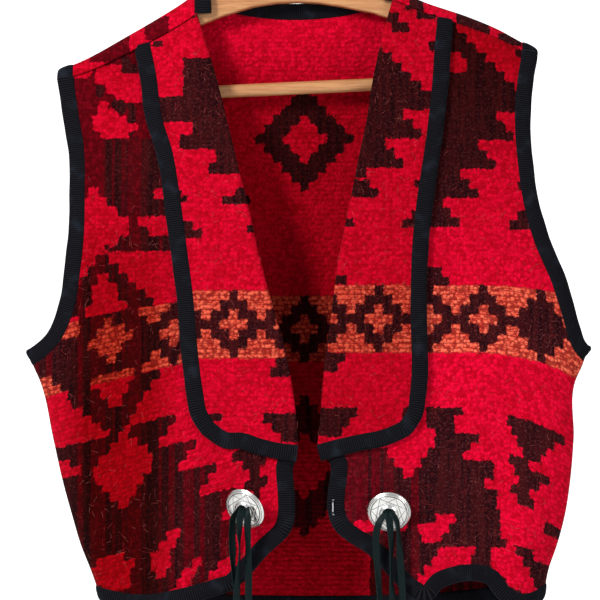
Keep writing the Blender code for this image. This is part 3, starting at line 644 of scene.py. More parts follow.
CHARTS = {
    "front_right": {
        "origin": (170.2, 362.2),
        "paint": [
            ("dark", saw(-14, -2.7, -27.2, 1, 0, 1.05, 7)
             + block(-14, 3.9, -20.2, -18) + saw(-14, 1.5, -18, 4, -2)),
            ("red", steps(-24.2, [(-4, -2.3), (-4, -1.6), (-4, -1.6)], 0.7)),
            ("dark", block(3.7, 6, -24.6, -23.8)),
            ("dark", steps(-7.8, [(3.8, 6), (2.8, 6)])),
            ("dark", block(3.8, 6, -10.8, -10)),
            ("dark", steps(-1.9, [(-8, -4.6), (-8, -3.7)])),
            ("diamond", 0),
            ("diamond", -6),
            ("dark", diamond(6.35, 3.5, 4)),
            ("dark", steps(12.6, [(-12, -2.2), (-12, -3.2), (-12, -3.2), (-12, -0.5), (-12, -1.4)], 0.9)
             + steps(17.1, [(-12, -2.2), (-12, 1.1), (-12, 1.1), (-12, 0)], 0.95)
             + steps(20.9, [(-12, 1.5)] * 2 + [(-12, 1.9)] * 3 + [(-12, 2.6)] + [(-12, 0.8)] * 5)),
            ("striped", block(-17, -5.6, 16.4, 34)),
            ("red", steps(11.8, [(-13, -6.3)] * 3 + [(-12.5, -5.3), (-11.3, -5.4)])
             + steps(16.8, [(-10.5, -6.2), (-9.8, -6.9), (-8.8, -7.6)])),
            ("red", steps(23.6, [(-5.3, -3.1), (-7.3, -3.8), (-6.9, -4.7)], 0.95)),
            ("red", steps(27, [(-5.1, -1), (-5.8, -1.4), (-6.6, -3), (-7.3, -3.6), (-7.3, -4.6)], 0.9)),
            ("red", block(-14.2, -8.4, 24.2, 25.3)),
            ("dark", steps(13, [(2.6, 9), (3.1, 7.8), (3.7, 7), (4.4, 6.4)])
             + steps(17, [(2.8, 5), (3.4, 7.3), (3.9, 6.2), (3, 5.1), (3.7, 5.6)])),
            ("dark", block(6.7, 8.8, 22.8, 24)),
            ("dark", steps(26.2, [(3.5, 5.5), (4.4, 7.7), (5.1, 7.3), (5.6, 6.8)])),
            ("dark", steps(29.8, [(0.8, 2.6), (0.8, 4.2), (0.8, 5.2)])),
        ],
    },
    "front_left": {
        "origin": (-168.4, 387.2),
        "paint": [
            ("maroon", block(-12, 12, -32, -7.5)),
            ("red", block(-12, -2.7, -26.3, -24.4)),
            ("red", steps(-25.7, [(-2.3, 1.2), (-2.3, 12), (-1.1, 12), (0, 12)])),
            ("red", block(1.5, 12, -29.2, -27.6)),
            ("dark", steps(-26.6, [(0.6, 1.5), (0.6, 2.4)], 0.9)),
            ("dark", block(-2.1, -1.3, -23.6, -22.3)),
            ("dark", block(-0.4, 1.1, -22, -20.6)),
            ("dark", block(1.4, 2.2, -21.7, -18.5)),
            ("striped", block(-1.3, 12, -18, -6.3)),
            ("red", steps(-21.9, [(-1.9, -0.8), (-1.9, 0.1), (-2.6, 1.2), (-2.6, 2.4), (-1.6, 1.5)], 0.78)),
            ("red", steps(-12.9, [(-2.9, -1.9), (-9, -0.9), (-9, 0.3), (-9, 1.5), (-9, 1.5), (-9, 0.4)])),
            ("red", block(-9, -1.2, -7.5, -6.3)),
            ("red", block(4.3, 12, -12.8, -11.7)),
            ("red", steps(-9.9, [(2.5, 12), (3.7, 12)])),
            ("striped", steps(-6, [(-2.2 - 0.8 * k, -0.6 + k) for k in range(6)])
             + steps(0, [(-6.5, 2.6), (-7, 3.6), (-9, 4.6), (-9, 7), (-9, 4.8), (-7, 4), (-6, 3)])
             + steps(7, [(-5.2, 5.1), (-4.8, 4), (-3.6, 3.2), (-2.6, 2.4), (-1.6, 1.6), (-0.6, 1)])),
            ("red", steps(-4.1, [(-1.9, -0.8), (-2.5, 0.3), (-2.5, 0.3), (-3.2, 1.4)])),
            ("red", steps(0.4, [(-1.2, -0.4), (-1.9, 1.1), (-3, 2), (-1.9, 0.7), (-0.9, 0.1)], 0.95)),
            ("red", steps(6.2, [(-2.6, 2.2), (-1.6, 1.4), (-0.8, 0.7)], 1.2)),
            ("red", block(-6.5, -3.9, -0.4, 1.5)),
            ("diamond", 6.5),
            ("striped", block(-9, 3, 12.6, 33)),
            ("striped", saw(1.8, 6.8, 12.1, 3, 2.2, -0.95) + block(1.8, 13.4, 21.1, 33)),
            ("red", stepped(0.9, 12.5, [1.2, 3, 5.5, 6.5, 6.2, 4.5, 3, 1.2])),
            ("red", steps(14.1, [(-9, -5), (-9, -3.7)], 0.9)),
            ("dark", steps(17.4, [(12.9, 18.3), (14, 16.6), (14.8, 15.9), (14.2, 16.8), (15.1, 15.9)], 1.1)),
            ("red", steps(23.9, [(5.8, 7.3), (4.9, 6.8), (4, 6.2), (4, 6.2), (4.6, 5.7)], 0.95)),
            ("red", steps(27.3, [(8.5, 9.6), (7.4, 9), (6.8, 8.5), (6, 8.2)], 0.9)),
            ("red", steps(25.1, [(-2, 0.9), (-2.7, 2.2), (-2.7, 1.6), (-1.5, 1.6)], 0.95)),
            ("red", block(11.9, 13.1, 23.2, 24.2)),
            ("red", steps(28.2, [(11.4, 14), (10.4, 14), (9.8, 14)], 0.9)),
        ],
    },
    "lapel_right": {
        "origin": (73.6, 362.2),
        "paint": [
            ("dark", saw(-9, -0.6, -26, 1, 0, 1.05, 7)),
            ("dark", block(-9, 7, -19.9, -18) + saw(-9, 2.7, -18, 2, -2) + block(-9, -1.3, -12, -11)),
            ("dark", steps(-28.2, [(0.4, 2.3), (1.5, 3.4)])),
            ("dark", steps(-29.6, [(3, 5), (4.2, 6.4)])),
            ("dark", block(5.5, 7.5, -25.2, -24.2)),
            ("dark", steps(-10.8, [(-3, -1), (-3, 0)], 0.9)),
            ("dark", block(3.9, 7, -10.8, -10)),
            ("dark", steps(-7.7, [(3.6, 7), (2.6, 7)], 0.9)),
            ("dark", block(-5, -2.7, -6.8, -5.9)),
            ("dark", block(-5, -3.5, -0.9, 0)),
            ("diamond", 0),
            ("diamond", -6),
            ("diamond", 6),
            ("dark", steps(7, [(-7, -3.6), (-7, -4.4)])),
            ("dark", steps(12.6, [(-7, -2.3), (-7, -3.2), (-7, -4)])),
            ("dark", block(2.5, 3.7, 12.6, 13.7)),
        ],
    },
    "lapel_left": {
        "origin": (-58.9, 367.4),
        "paint": [
            ("dark", block(-5.5, 6, -24, -20) + block(-12, 5, -20, -12)),
            ("maroon", block(-12, 5, -31, -28.4)),
            ("dark", block(-9, -7.8, -26, -25.3)),
            ("red", block(-12, -4.4, -17.3, -16) + block(-12, -5.8, -16, -14.5)
             + block(-12, -1.9, -14.5, -13.2) + block(-12, -2.7, -13.2, -11.7)),
            ("dark", steps(-10.6, [(0.2, 3), (-1.2, 3)], 0.9)),
            ("dark", steps(-10.4, [(-8, -5.6), (-8, -5)], 0.7)),
            ("dark", steps(-7.2, [(-8, -4.4), (-8, -3.4)], 0.9)),
            ("dark", block(1.5, 3, -6.7, -5.9)),
            ("diamond", 0),
            ("diamond", -6),
            ("diamond", 6),
            ("dark", steps(6.9, [(4.6, 8), (4, 8)])),
            ("dark", steps(12.6, [(-4, -1.2), (-4, -2.2)], 0.8)),
            ("dark", steps(12.6, [(3.2, 8), (4.2, 8), (5.2, 8)])),
        ],
    },
    "back": {
        "origin": (6.0, 372.0),
        "paint": [
            ("dark", block(11.5, 13.1, -31, -29.3) + block(12.8, 14.5, -29.3, -28.4)),
            ("dark", block(16.7, 20.4, -29.5, -27.1)),
            ("dark", block(21.4, 23.9, -27.2, -26)),
            ("maroon", block(-23.7, -19.2, -27.5, -24.2)),
            ("maroon", block(-17.6, -14.9, -29, -26.5)),
            ("dark", saw(-34, -16, -22, 4, -2)),
            ("dark", mirrored(saw(-34, -16, -22, 4, -2))),
            ("dark", stepped(0, -22, [1, 3, 5, 7, 9, 11, 9, 7, 5, 3, 1])),
            ("red", stepped(0, -19, [1, 3, 5, 3, 1])),
            *[("diamond", 6 * k) for k in range(-5, 6) if k % 2 == 0],
            *[("dark", diamond(6 * k, 3.5, 4)) for k in range(-5, 6) if k % 2],
            ("striped", stepped(0, 10.5, [1, 3, 5, 7, 9, 11, 13, 13, 13, 11, 9, 7, 5, 3, 1])),
            ("red", stepped(0, 14.5, [1, 3, 5, 7, 5, 3, 1])),
            ("striped", saw(-34, -17, 12.5, 4, 2.6, -1) + block(-34, -7.4, 24.5, 34)),
            ("striped", mirrored(saw(-34, -17, 12.5, 4, 2.6, -1) + block(-34, -7.4, 24.5, 34))),
            ("red", stepped(-22.5, 15.5, [1, 3, 5, 3, 1])),
            ("red", stepped(22.5, 15.5, [1, 3, 5, 3, 1])),
            ("red", steps(21.6, [(-16, -13.6), (-17.4, -14.2), (-18.4, -16)])),
            ("red", steps(21.6, [(13.6, 16), (14.2, 17.4), (16, 18.4)])),
            ("dark", stepped(-8.5, -12.6, [1, 3, 5, 3, 1])),
            ("dark", stepped(8.5, -12.6, [1, 3, 5, 3, 1])),
        ],
    },
}


# Which fields a paint adds to, and which it cuts away. Dark and striped parts lie over maroon ones.
ADDS_TO = {"dark": ["dark"], "striped": ["dark", "striped"], "maroon": ["maroon"], "red": []}
CUTS_FROM = {
    "dark": ["striped"], "striped": [], "maroon": ["dark", "striped"], "red": ["dark", "maroon", "striped"],
}  # fmt: skip


def tilt(name, x, drop):
    """How far the knitting's rows sag at a place, in millimetres."""
    if name == "front_right":
        past = np.maximum(x - SAG_FROM_X, 0)
        return SAG_BEND * past**2 * np.clip(0.5 + (drop - SAG_MIDDLE_DROP) / SAG_GROWTH, 0.2, 1.6)
    if name == "front_left":
        across = x - CHARTS[name]["origin"][0]
        return SLANT * across * np.clip((drop - SLANT_FROM_DROP) / SLANT_GROWTH, 0, 1)
    return np.zeros_like(x)


def painted_shade_at(name, x, drop):
    """How much painted shade darkens the wool at a place, from 0 to 1."""
    painted_shade = np.interp(drop, *PAINTED_SHADES[name])
    return painted_shade * np.interp(x, *LEFT_PAINTED_SHADE_ACROSS) if name == "front_left" else painted_shade


def inside_distance(boxes, u, v):
    """The distance in cells to the edge of a figure made of boxes, less than zero inside it."""
    joined = list(boxes)
    for a in boxes:
        for b in boxes:
            if abs(a[3] - b[2]) < 1e-6:
                left, right = max(a[0], b[0]), min(a[1], b[1])
                if right > left:
                    joined.append((left, right, a[2], b[3]))
    nearest = np.full_like(u, OUTSIDE)
    for left, right, top, bottom in joined:
        beside = np.maximum(left - u, u - right)
        above = np.maximum(top - v, v - bottom)
        outside = np.hypot(np.maximum(beside, 0), np.maximum(above, 0))
        nearest = np.minimum(nearest, outside + np.minimum(np.maximum(beside, above), 0))
    return nearest


def charted(name, flat):
    """The attributes of a panel's knitting: chart (column, row, seed), ink (dark, maroon, striped) and
    painted shade.
    """
    chart = CHARTS[name]
    x, drop = flat[..., 0] / MM, flat[..., 1] / MM
    u = (x - chart["origin"][0]) / CELL_WIDTH
    v = (drop - chart["origin"][1] - tilt(name, x, drop)) / CELL_HEIGHT
    ink = {paint: np.full_like(u, OUTSIDE) for paint in ("dark", "maroon", "striped")}
    for paint, figure in chart["paint"]:
        if paint == "diamond":
            dark, windows = band_diamond(figure)
            ink["dark"] = np.minimum(ink["dark"], inside_distance(dark, u, v))
            ink["dark"] = np.maximum(ink["dark"], -inside_distance(windows, u, v))
            continue
        distance = inside_distance(figure, u, v)
        for known in ink:
            if known in ADDS_TO[paint]:
                ink[known] = np.minimum(ink[known], distance)
            elif known in CUTS_FROM[paint]:
                ink[known] = np.maximum(ink[known], -distance)
    seed = np.full_like(u, 7.0 * sorted(CHARTS).index(name))
    inks = np.clip(np.stack(list(ink.values()), axis=-1), -INK_LIMIT, INK_LIMIT)
    return [("chart", np.stack([u, v, seed], axis=-1)), ("ink", inks), ("painted_shade", painted_shade_at(name, x, drop))]


# Panels


def patch(top, bottom, inner, outer, column_shares):
    """A grid between four edges. inner and outer have a point a row, top and bottom one a column.

    column_shares give each column's place between inner and outer, for all rows or for each.
    """
    v = np.linspace(0, 1, len(inner))[:, None, None]
    u = np.atleast_2d(column_shares)[..., None]
    return (
        (1 - v) * top[None]
        + v * bottom[None]
        + (1 - u) * inner[:, None]
        + u * outer[:, None]
        - (1 - u) * (1 - v) * top[0]
        - u * (1 - v) * top[-1]
        - (1 - u) * v * bottom[0]
        - u * v * bottom[-1]
    )


def seam_line(start_x, end_x, shares, lower=0.0):
    """The front shoulder seam between two places, as x and drop."""
    x = start_x + (end_x - start_x) * np.asarray(shares)
    return np.stack([x, ridge(x) + strip(x) + lower], axis=-1)


def from_seam(line, lower=0.0):
    """The line with its first point moved onto the front shoulder seam."""
    line = np.array(line, float)
    x = line[0, 0] * MM
    line[0, 1] = (ridge(x) + strip(x) + lower) / MM
    return line


def near_seam(flat):
    """1 at the front shoulder seam, and from there down to 0 over the depth of the tuck."""
    below = flat[..., 1] - ridge(flat[..., 0]) - strip(flat[..., 0])
    share = np.clip(1 - below / SEAM_TUCK, 0, 1)
    return share**2 * (3 - 2 * share)


def tucked(points, normals, flat):
    """A front's points, with the rows nearest the shoulder seam slipped under the back's strip."""
    sunk = points - normals * ((WALL + SEAM_GAP) * near_seam(flat))[..., None]
    sunk[0] += unit(points[0] - points[1]) * 0.4 * SEAM_TUCK
    return sunk


def inward_sign(side):
    return 1 if side == "left" else -1


def arm_line(rows, count):
    """Points along an armhole, closer together towards the underarm."""
    return along(rows, 1 - (1 - np.linspace(0, 1, count + 1)) ** ARMHOLE_CLUSTER)


def side_seam(side, top, rows):
    """The side seam from a drop down to the hem."""
    drop = np.linspace(top, FRONT_HEM[side][-1][1] * MM, rows + 1)
    left, right, _, _ = body(drop)
    return np.stack([left if side == "left" else right, drop], axis=-1)


def panel_inner_edge(side):
    """The front's edge towards the opening: behind the roll of the lapel, then inside its own binding."""
    roll = LAPEL_RISE / 2 + WALL / 2 + SEAM_GAP / 2
    fold = along(FOLD_EDGE[side], np.linspace(0, 1, LAPEL_ROWS + 1))
    fold[:, 0] -= inward_sign(side) * roll
    lower = along(FRONT_EDGE[side], np.linspace(0, 1, FRONT_ROWS - LAPEL_ROWS + 2))
    return np.concatenate([fold[:-1], lower[1:]])


def front_grid(side):
    """A front's points, outward directions and flat places."""
    shares = 1 - (1 - np.linspace(0, 1, FRONT_COLUMNS + 1)) ** SIDE_CLUSTER
    inner = finer(panel_inner_edge(side), FRONT_FINE)
    arm = arm_line(ARMHOLE[side], ARMHOLE_ROWS * FRONT_FINE)
    seam = side_seam(side, arm[-1][1], (FRONT_ROWS - ARMHOLE_ROWS) * FRONT_FINE)
    outer = np.concatenate([arm[:-1], seam])
    top = seam_line(inner[0][0], outer[0][0], shares, SEAM_GAP)
    inner[0], outer[0] = top[0], top[-1]
    bottom = along(FRONT_HEM[side], shares)
    bottom[0], bottom[-1] = inner[-1], outer[-1]
    flat = patch(top, bottom, inner, outer, shares)
    x, drop = flat[..., 0], flat[..., 1]
    points, normals = on_face("front", x, drop), normals_on("front", x, drop)
    under_arm = ARMHOLE_ROWS * FRONT_FINE
    points[under_arm:, -1, 1] = -SEAM_GAP / 2
    normals[under_arm:, -1, 1] = 0
    return points, unit(normals), flat


def rolled(side, edge_line, edge_out):
    """The half turn from the front's edge up to the lapel: points, outward directions, lengths round it."""
    lengthways = unit(np.gradient(edge_line, axis=0))
    away = unit(np.cross(lengthways, edge_out)) * inward_sign(side)
    away *= np.sign(away[:, :1] * inward_sign(side))
    turns = np.linspace(-math.pi / 2, math.pi / 2, ROLL_STEPS + 1)[:-1]
    ways = np.stack([away * math.cos(t) + edge_out * math.sin(t) for t in turns], axis=1)
    middle = (edge_line + edge_out * LAPEL_RISE / 2)[:, None]
    lengths = (math.pi / 2 - turns) * LAPEL_RISE / 2
    return middle + ways * LAPEL_RISE / 2, unit(ways), lengths


def lapel_grid(side):
    """A lapel's points, outward directions and flat places: the roll, then what lies on the front."""
    row_shares = np.linspace(0, 1, LAPEL_ROWS * LAPEL_FINE + 1)
    shares = np.linspace(0, 1, LAPEL_COLUMNS + 1)
    fold = along(from_seam(FOLD_EDGE[side], LAPEL_GAP), row_shares)
    fold[:, 0] -= inward_sign(side) * (LAPEL_RISE / 2 + WALL / 2)
    outer = along(from_seam(LAPEL_SIDE[side], LAPEL_GAP), row_shares)
    top = seam_line(fold[0][0], outer[0][0], shares, LAPEL_GAP)
    fold[0], outer[0] = top[0], top[-1]
    foot = np.array(LAPEL_FOOT[side], float)
    foot[0] = fold[-1] / MM
    bottom = along(foot, shares)
    bottom[0], bottom[-1] = fold[-1], outer[-1]
    flat = patch(top, bottom, fold, outer, shares)
    x, drop = flat[..., 0], flat[..., 1]
    under, out = on_face("front", x, drop), normals_on("front", x, drop)
    roll, roll_out, lengths = rolled(side, under[:, 0], out[:, 0])
    points = np.concatenate([roll, under + out * LAPEL_RISE], axis=1)
    normals = np.concatenate([roll_out, out], axis=1)
    roll_flat = np.repeat(flat[:, :1], ROLL_STEPS, axis=1)
    roll_flat[..., 0] += lengths[None] * inward_sign(side)
    facing = np.concatenate([np.repeat(out[:, :1], ROLL_STEPS, axis=1), out], axis=1)
    flat = np.concatenate([roll_flat, flat], axis=1)
    return points - facing * (LAPEL_RISE * near_seam(flat))[..., None], normals, flat


def shoulder_rows(side, tip, neck):
    """One shoulder strip, from the front seam over the fold to the row of the neck's corner.

    Gives the flat places from the outer column to the inner one, and which rows lie in front of the fold.
    """
    shoulder = np.linspace(0, 1, SHOULDER_COLUMNS + 1) ** SHOULDER_CLUSTER
    neck_top = FOLD_EDGE[side][0][0] * MM
    rows = BACK_OVER_ROWS * BACK_FINE
    places, forward = [], []
    for k in range(rows + 1):
        turn = eased([0, FOLD_SHARE, 1], [-1, 0, 1], k / rows)
        inner_x = neck_top + (neck[0] - neck_top) * max(turn, 0) ** NECK_EASE
        x = tip + (inner_x - tip) * shoulder
        behind = (neck[1] - ridge(neck[0])) * max(turn, 0) ** STRIP_EASE
        fore = strip(x) * max(-turn, 0) ** STRIP_EASE
        places.append(np.stack([x, ridge(x) + np.where(turn < 0, fore, behind)], axis=-1))
        forward.append(turn < 0)
    return np.array(places), np.array(forward)


def back_side(side, start, arm):
    """A side of the back: down the armhole from the row of the neck's corner, and the side seam."""
    path = arm[arm[:, 1] > start[1] + 4 * MM]
    lower = arm_line(np.vstack([start, path]) / MM, BACK_ARM_ROWS * BACK_FINE)
    seam = side_seam(side, lower[-1][1], (BACK_ROWS - BACK_ARM_ROWS) * BACK_FINE)
    return np.concatenate([lower[:-1], seam])


def back_grid():
    """The back's points, outward directions and flat places, and which cells are cloth.

    The first rows run from the front shoulder seams up and over the hanger, beside the neck's hollow.
    """
    over, arm_rows, down_rows = (n * BACK_FINE for n in (BACK_OVER_ROWS, BACK_ARM_ROWS, BACK_ROWS))
    columns = 2 * SHOULDER_COLUMNS + NECK_COLUMNS + 1
    first, last = SHOULDER_COLUMNS, SHOULDER_COLUMNS + NECK_COLUMNS
    rows = over + down_rows
    flat = np.zeros((rows + 1, columns, 2))
    forward = np.zeros((rows + 1, columns), bool)
    arm = {side: arm_line(ARMHOLE[side], ARMHOLE_ROWS) for side in SIDES}
    neck = {side: np.array(BACK_NECK_CORNER[side]) * MM for side in SIDES}
    for side, target in (("left", slice(0, first + 1)), ("right", slice(columns - 1, last - 1, -1))):
        places, ahead = shoulder_rows(side, arm[side][0][0], neck[side])
        flat[: over + 1, target] = places
        forward[: over + 1, target] = ahead[:, None]

    # The neckline itself
    middle = np.linspace(0, 1, NECK_COLUMNS + 1)
    neck_x = neck["left"][0] + (neck["right"][0] - neck["left"][0]) * middle
    scoop = BACK_NECK_DROP * MM - (neck["left"][1] + neck["right"][1]) / 2
    chord = neck["left"][1] + (neck["right"][1] - neck["left"][1]) * middle
    flat[over, first : last + 1, 0] = neck_x
    flat[over, first : last + 1, 1] = chord + scoop * np.sin(math.pi * middle) ** SCOOP_POWER

    # From there down to the hem, between the armholes and then the side seams
    top = flat[over].copy()
    top_shares = (top[:, 0] - top[0, 0]) / (top[-1, 0] - top[0, 0])
    spread = 0.5 - 0.5 * np.cos(math.pi * top_shares)
    hem_shares = HEM_EVEN * top_shares + (1 - HEM_EVEN) * spread
    left, right = (back_side(side, top[end], arm[side]) for side, end in zip(SIDES, (0, -1), strict=True))
    hem_x = left[-1][0] + (right[-1][0] - left[-1][0]) * hem_shares
    hem = np.stack([hem_x, curve(BACK_HEM, hem_x)], axis=-1)
    hem[0], hem[-1] = left[-1], right[-1]
    down = np.linspace(0, 1, down_rows + 1)[:, None]
    flat[over:] = patch(top, hem, left, right, (1 - down) * top_shares + down * hem_shares)

    x, drop = flat[..., 0], flat[..., 1]
    forward = forward[..., None]
    points = np.where(forward, on_face("front", x, drop), on_face("back", x, drop))
    front_out, back_out = normals_on("front", x, drop), normals_on("back", x, drop)
    normals = np.where(forward, front_out, back_out)
    on_fold = drop < ridge(x) + 0.3 * MM
    normals[on_fold] = unit(front_out + back_out)[on_fold]
    under_arm = over + arm_rows
    for j in (0, columns - 1):
        points[under_arm:, j, 1] = SEAM_GAP / 2
        normals[under_arm:, j, 1] = 0
    present = np.ones((rows, columns - 1), bool)
    present[:over, first:last] = False
    return points, unit(normals), flat, present, (over, under_arm, first, last)


def strand_faces(count):
    """The faces of closed four-sided strands."""
    first = np.arange(4)
    ring = np.stack([first, np.roll(first, -1), np.roll(first, -1) + 4, first + 4], axis=-1)
    sides = [ring + 4 * k for k in range(FIBRE_POINTS - 1)]
    strand = np.concatenate([*sides, [first[::-1], first + 4 * (FIBRE_POINTS - 1)]])
    return np.concatenate([strand + 4 * FIBRE_POINTS * k for k in range(count)])


def fibres(name, grid, count, margin, material):
    """Loose hairs of the wool: thin closed strands that leave the cloth and bend back to it."""
    points, normals, _ = grid
    chance = np.random.default_rng(count + points.shape[0])
    t = np.linspace(0, 1, FIBRE_POINTS)[:, None]
    square = np.array([(1, 0), (0, 1), (-1, 0), (0, -1)])
    rings = []
    for _ in range(count):
        row = chance.integers(margin, points.shape[0] - 6)
        place = chance.integers(2, points.shape[1] - 6)
        root, out = points[row, place], normals[row, place]
        sideways = unit(points[row, place + 1] - root)
        down = np.cross(out, sideways)
        turn = chance.uniform(0, 2 * math.pi)
        heading = sideways * math.cos(turn) + down * math.sin(turn)
        aside = np.cross(out, heading)
        length, bend = chance.uniform(*FIBRE_LENGTH) * MM, chance.normal(0, FIBRE_BEND) * MM
        rise = chance.uniform(*FIBRE_RISE) * MM
        path = root + heading * length * t + aside * bend * t**2
        path = path + out * (WALL / 2 - FIBRE_RADIUS + rise * np.sin(2.6 * t))
        circle = aside[None] * square[:, :1] + out[None] * square[:, 1:]
        rings.append(path[:, None] + circle[None] * FIBRE_RADIUS)
    added(mesh_object(name, np.array(rings).reshape(-1, 3), strand_faces(count), material))


# Bindings


def edge(grid, here, inner):
    """Along a grid's edge: its points, its outward directions and the ways out of the cloth there."""
    points, normals = grid[:2]
    return points[here], normals[here], points[here] - points[inner]


def joined_edges(*edges):
    return [np.concatenate(parts) for parts in zip(*edges, strict=True)]


def binding(name, path, normals, outwards, material, closed=False):
    """A knitted band round the cloth's edge. outwards point away from the cloth."""
    if closed:
        path, normals, outwards = (np.concatenate([v, v[:1]]) for v in (path, normals, outwards))
    lengths = lengths_along(path)
    count = int(round(lengths[-1] / RIB_PITCH)) * RINGS_A_RIB
    at = np.linspace(0, lengths[-1], count + 1)
    path, normals, outwards = (
        np.stack([np.interp(at, lengths, v[:, k]) for k in range(3)], axis=-1)
        for v in (path, normals, outwards)
    )
    wide = 2 * RINGS_A_RIB
    tangents = unit(np.roll(path, -wide, axis=0) - np.roll(path, wide, axis=0))
    if closed:
        ahead = np.roll(path[:-1], -wide, axis=0) - np.roll(path[:-1], wide, axis=0)
        tangents = unit(np.concatenate([ahead, ahead[:1]]))
    else:
        tangents[:wide] = unit(path[wide] - path[0])
        tangents[-wide:] = unit(path[-1] - path[-1 - wide])
    level = outwards - (outwards * normals).sum(-1, keepdims=True) * normals
    out = unit(level - (level * tangents).sum(-1, keepdims=True) * tangents)
    across = np.cross(out, tangents)
    normals = across * np.sign((across * normals).sum(-1, keepdims=True))
    rib = np.cos(2 * math.pi * at / RIB_PITCH)
    slow = sum(size * np.sin(at / (pitch * MM) + start) for pitch, size, start in BINDING_WAVES)
    rings, band = [], []
    for reach, thick in BINDING_SECTION:
        spread = reach * MM + (RIB_SWELL * rib + WIDTH_SWELL * slow) * max(reach, 0) / BINDING_REACH
        height = thick * (BINDING_HALF + RIB_DEPTH * (0.5 * rib - 0.5) + RIB_SWELL * slow)
        rings.append(path + out * spread[:, None] + normals * height[:, None])
        band.append(np.stack([at / RIB_PITCH, np.full_like(at, reach), rib], axis=-1))
    rings, band = np.stack(rings, axis=1), np.stack(band, axis=1)
    if closed:
        rings, band = rings[:-1], band[:-1]
    dressed(swept(name, rings, material, [("band", band)], closed), name)


def armhole_binding(side, front, back, material):
    """One closed band: down the front's edge, and up the back's over the shoulder."""
    under_arm = back[4][1]
    j, inner = (0, 3) if side == "left" else (-1, -4)
    end = ARMHOLE_ROWS * FRONT_FINE
    up = slice(under_arm - 1, 0, -1)
    down_front = edge(front, np.s_[:end, -1], np.s_[:end, -4])
    path, out, away = joined_edges(down_front, edge(back, np.s_[up, j], np.s_[up, inner]))
    away[end - 1] = away[end] = (0, 0, 1)
    binding(f"binding_armhole_{side}", path, out, away, material, closed=True)


def front_binding(side, front, material):
    """The band down the front edge from under the lapel, round the point and along the hem."""
    points = front[0]
    start = LAPEL_ROWS * FRONT_FINE + 2
    down_edge = edge(front, np.s_[start:, 0], np.s_[start:, 3])
    path, out, away = joined_edges(down_edge, edge(front, np.s_[-1, 1:], np.s_[-4, 1:]))
    away[len(points) - 1 - start] = points[-1, 0] - points[-4, 3]
    binding(f"binding_front_{side}", path, out, away, material)


def lapel_binding(side, lapel, material):
    """The band down the lapel's side and along its foot, over the rolled edge."""
    points, normals, _ = lapel
    last = points[-1, ROLL_STEPS]
    over_roll = last + unit(last - points[-1, ROLL_STEPS + 2]) * (LAPEL_RISE + WALL) / 2
    foot = slice(-2, ROLL_STEPS - 1, -1)
    along_foot = edge(lapel, np.s_[-1, foot], np.s_[-4, foot])
    over = over_roll[None], normals[-1:, ROLL_STEPS], along_foot[2][-1:]
    path, out, away = joined_edges(edge(lapel, np.s_[:, -1], np.s_[:, -4]), along_foot, over)
    away[len(points) - 1] = points[-1, -1] - points[-4, -4]
    binding(f"binding_lapel_{side}", path, out, away, material)


def hem_binding(back, material):
    """The band along the back's hem."""
    binding("binding_hem_back", *edge(back, -1, -4), material)


def neck_binding(back, material):
    """The band down one side of the back's neck, along it and up the other."""
    over, _, first, last = back[4]
    across, up = slice(first, last + 1), slice(over - 1, None, -1)
    whole = joined_edges(
        edge(back, np.s_[:over, first], np.s_[:over, first - 2]),
        edge(back, np.s_[over, across], np.s_[over + 2, across]),
        edge(back, np.s_[up, last], np.s_[up, last + 2]),
    )
    binding("binding_neck_back", *whole, material)


# Metal, laces and the hanger


def line_dip(distance, width, depth):
    """The depth of an engraved line at a distance from its middle."""
    return -depth * np.exp(-((distance / width) ** 2))


def concho(side, material):
    """A domed silver disc with a hole, turned grooves and an engraved star between two of them."""
    x, drop, turn, tip, stand = CONCHOS[side]
    ring_groove, _, inner_line = column(CONCHO_GROOVES, 0)
    front = np.linspace(CONCHO_FACE[-1][0], CONCHO_FACE[0][0], CONCHO_RINGS)
    heights = eased(column(CONCHO_FACE, 0), column(CONCHO_FACE, 1), front)
    turns = full_turn(CONCHO_SPOKES)
    radius, angle = np.meshgrid(front, turns)
    engraved = sum(line_dip(radius - middle, width, depth) for middle, width, depth in CONCHO_GROOVES)
    fade = np.clip((ring_groove - radius) / STAR_FADE, 0, 1)
    fade *= np.clip((radius - inner_line) / STAR_FADE, 0, 1)
    reach = ring_groove * math.cos(2 * math.pi / STAR_POINTS)
    star = np.full_like(radius, OUTSIDE)
    for k in range(STAR_POINTS):
        facing = 2 * math.pi * (k + STAR_TURN) / STAR_POINTS
        star = np.minimum(star, np.abs(radius * np.cos(angle - facing) - reach))
    engraved += line_dip(star, *STAR_LINE) * fade
    behind = np.repeat(np.array(CONCHO_BACK)[None], len(turns), axis=0)
    radius = np.concatenate([radius, behind[..., 0]], axis=1)
    rise = np.concatenate([heights[None] + engraved, behind[..., 1]], axis=1)
    groove = np.concatenate([np.clip(-engraved / GROOVE_DARK, 0, 1), np.zeros_like(behind[..., 0])], axis=1)

    place = on_face("front", np.array(x * MM), np.array(drop * MM))
    out = normals_on("front", np.array([x * MM]), np.array([drop * MM]))[0]
    side_turn, down_turn = math.radians(turn), math.radians(tip)
    axis = unit(np.array([math.sin(side_turn), -math.cos(side_turn), -math.sin(down_turn)]))
    across = unit(np.cross(axis, [0, 0, 1]))
    up = np.cross(across, axis)
    spokes = across * np.cos(turns)[:, None] + up * np.sin(turns)[:, None]
    seat = place + out * stand * MM
    rings = seat + spokes[:, None] * radius[..., None] * MM + axis * rise[..., None] * MM
    made = swept(f"concho_{side}", rings, material, [("groove", groove)], closed=True)
    dressed(made, f"concho_{side}")


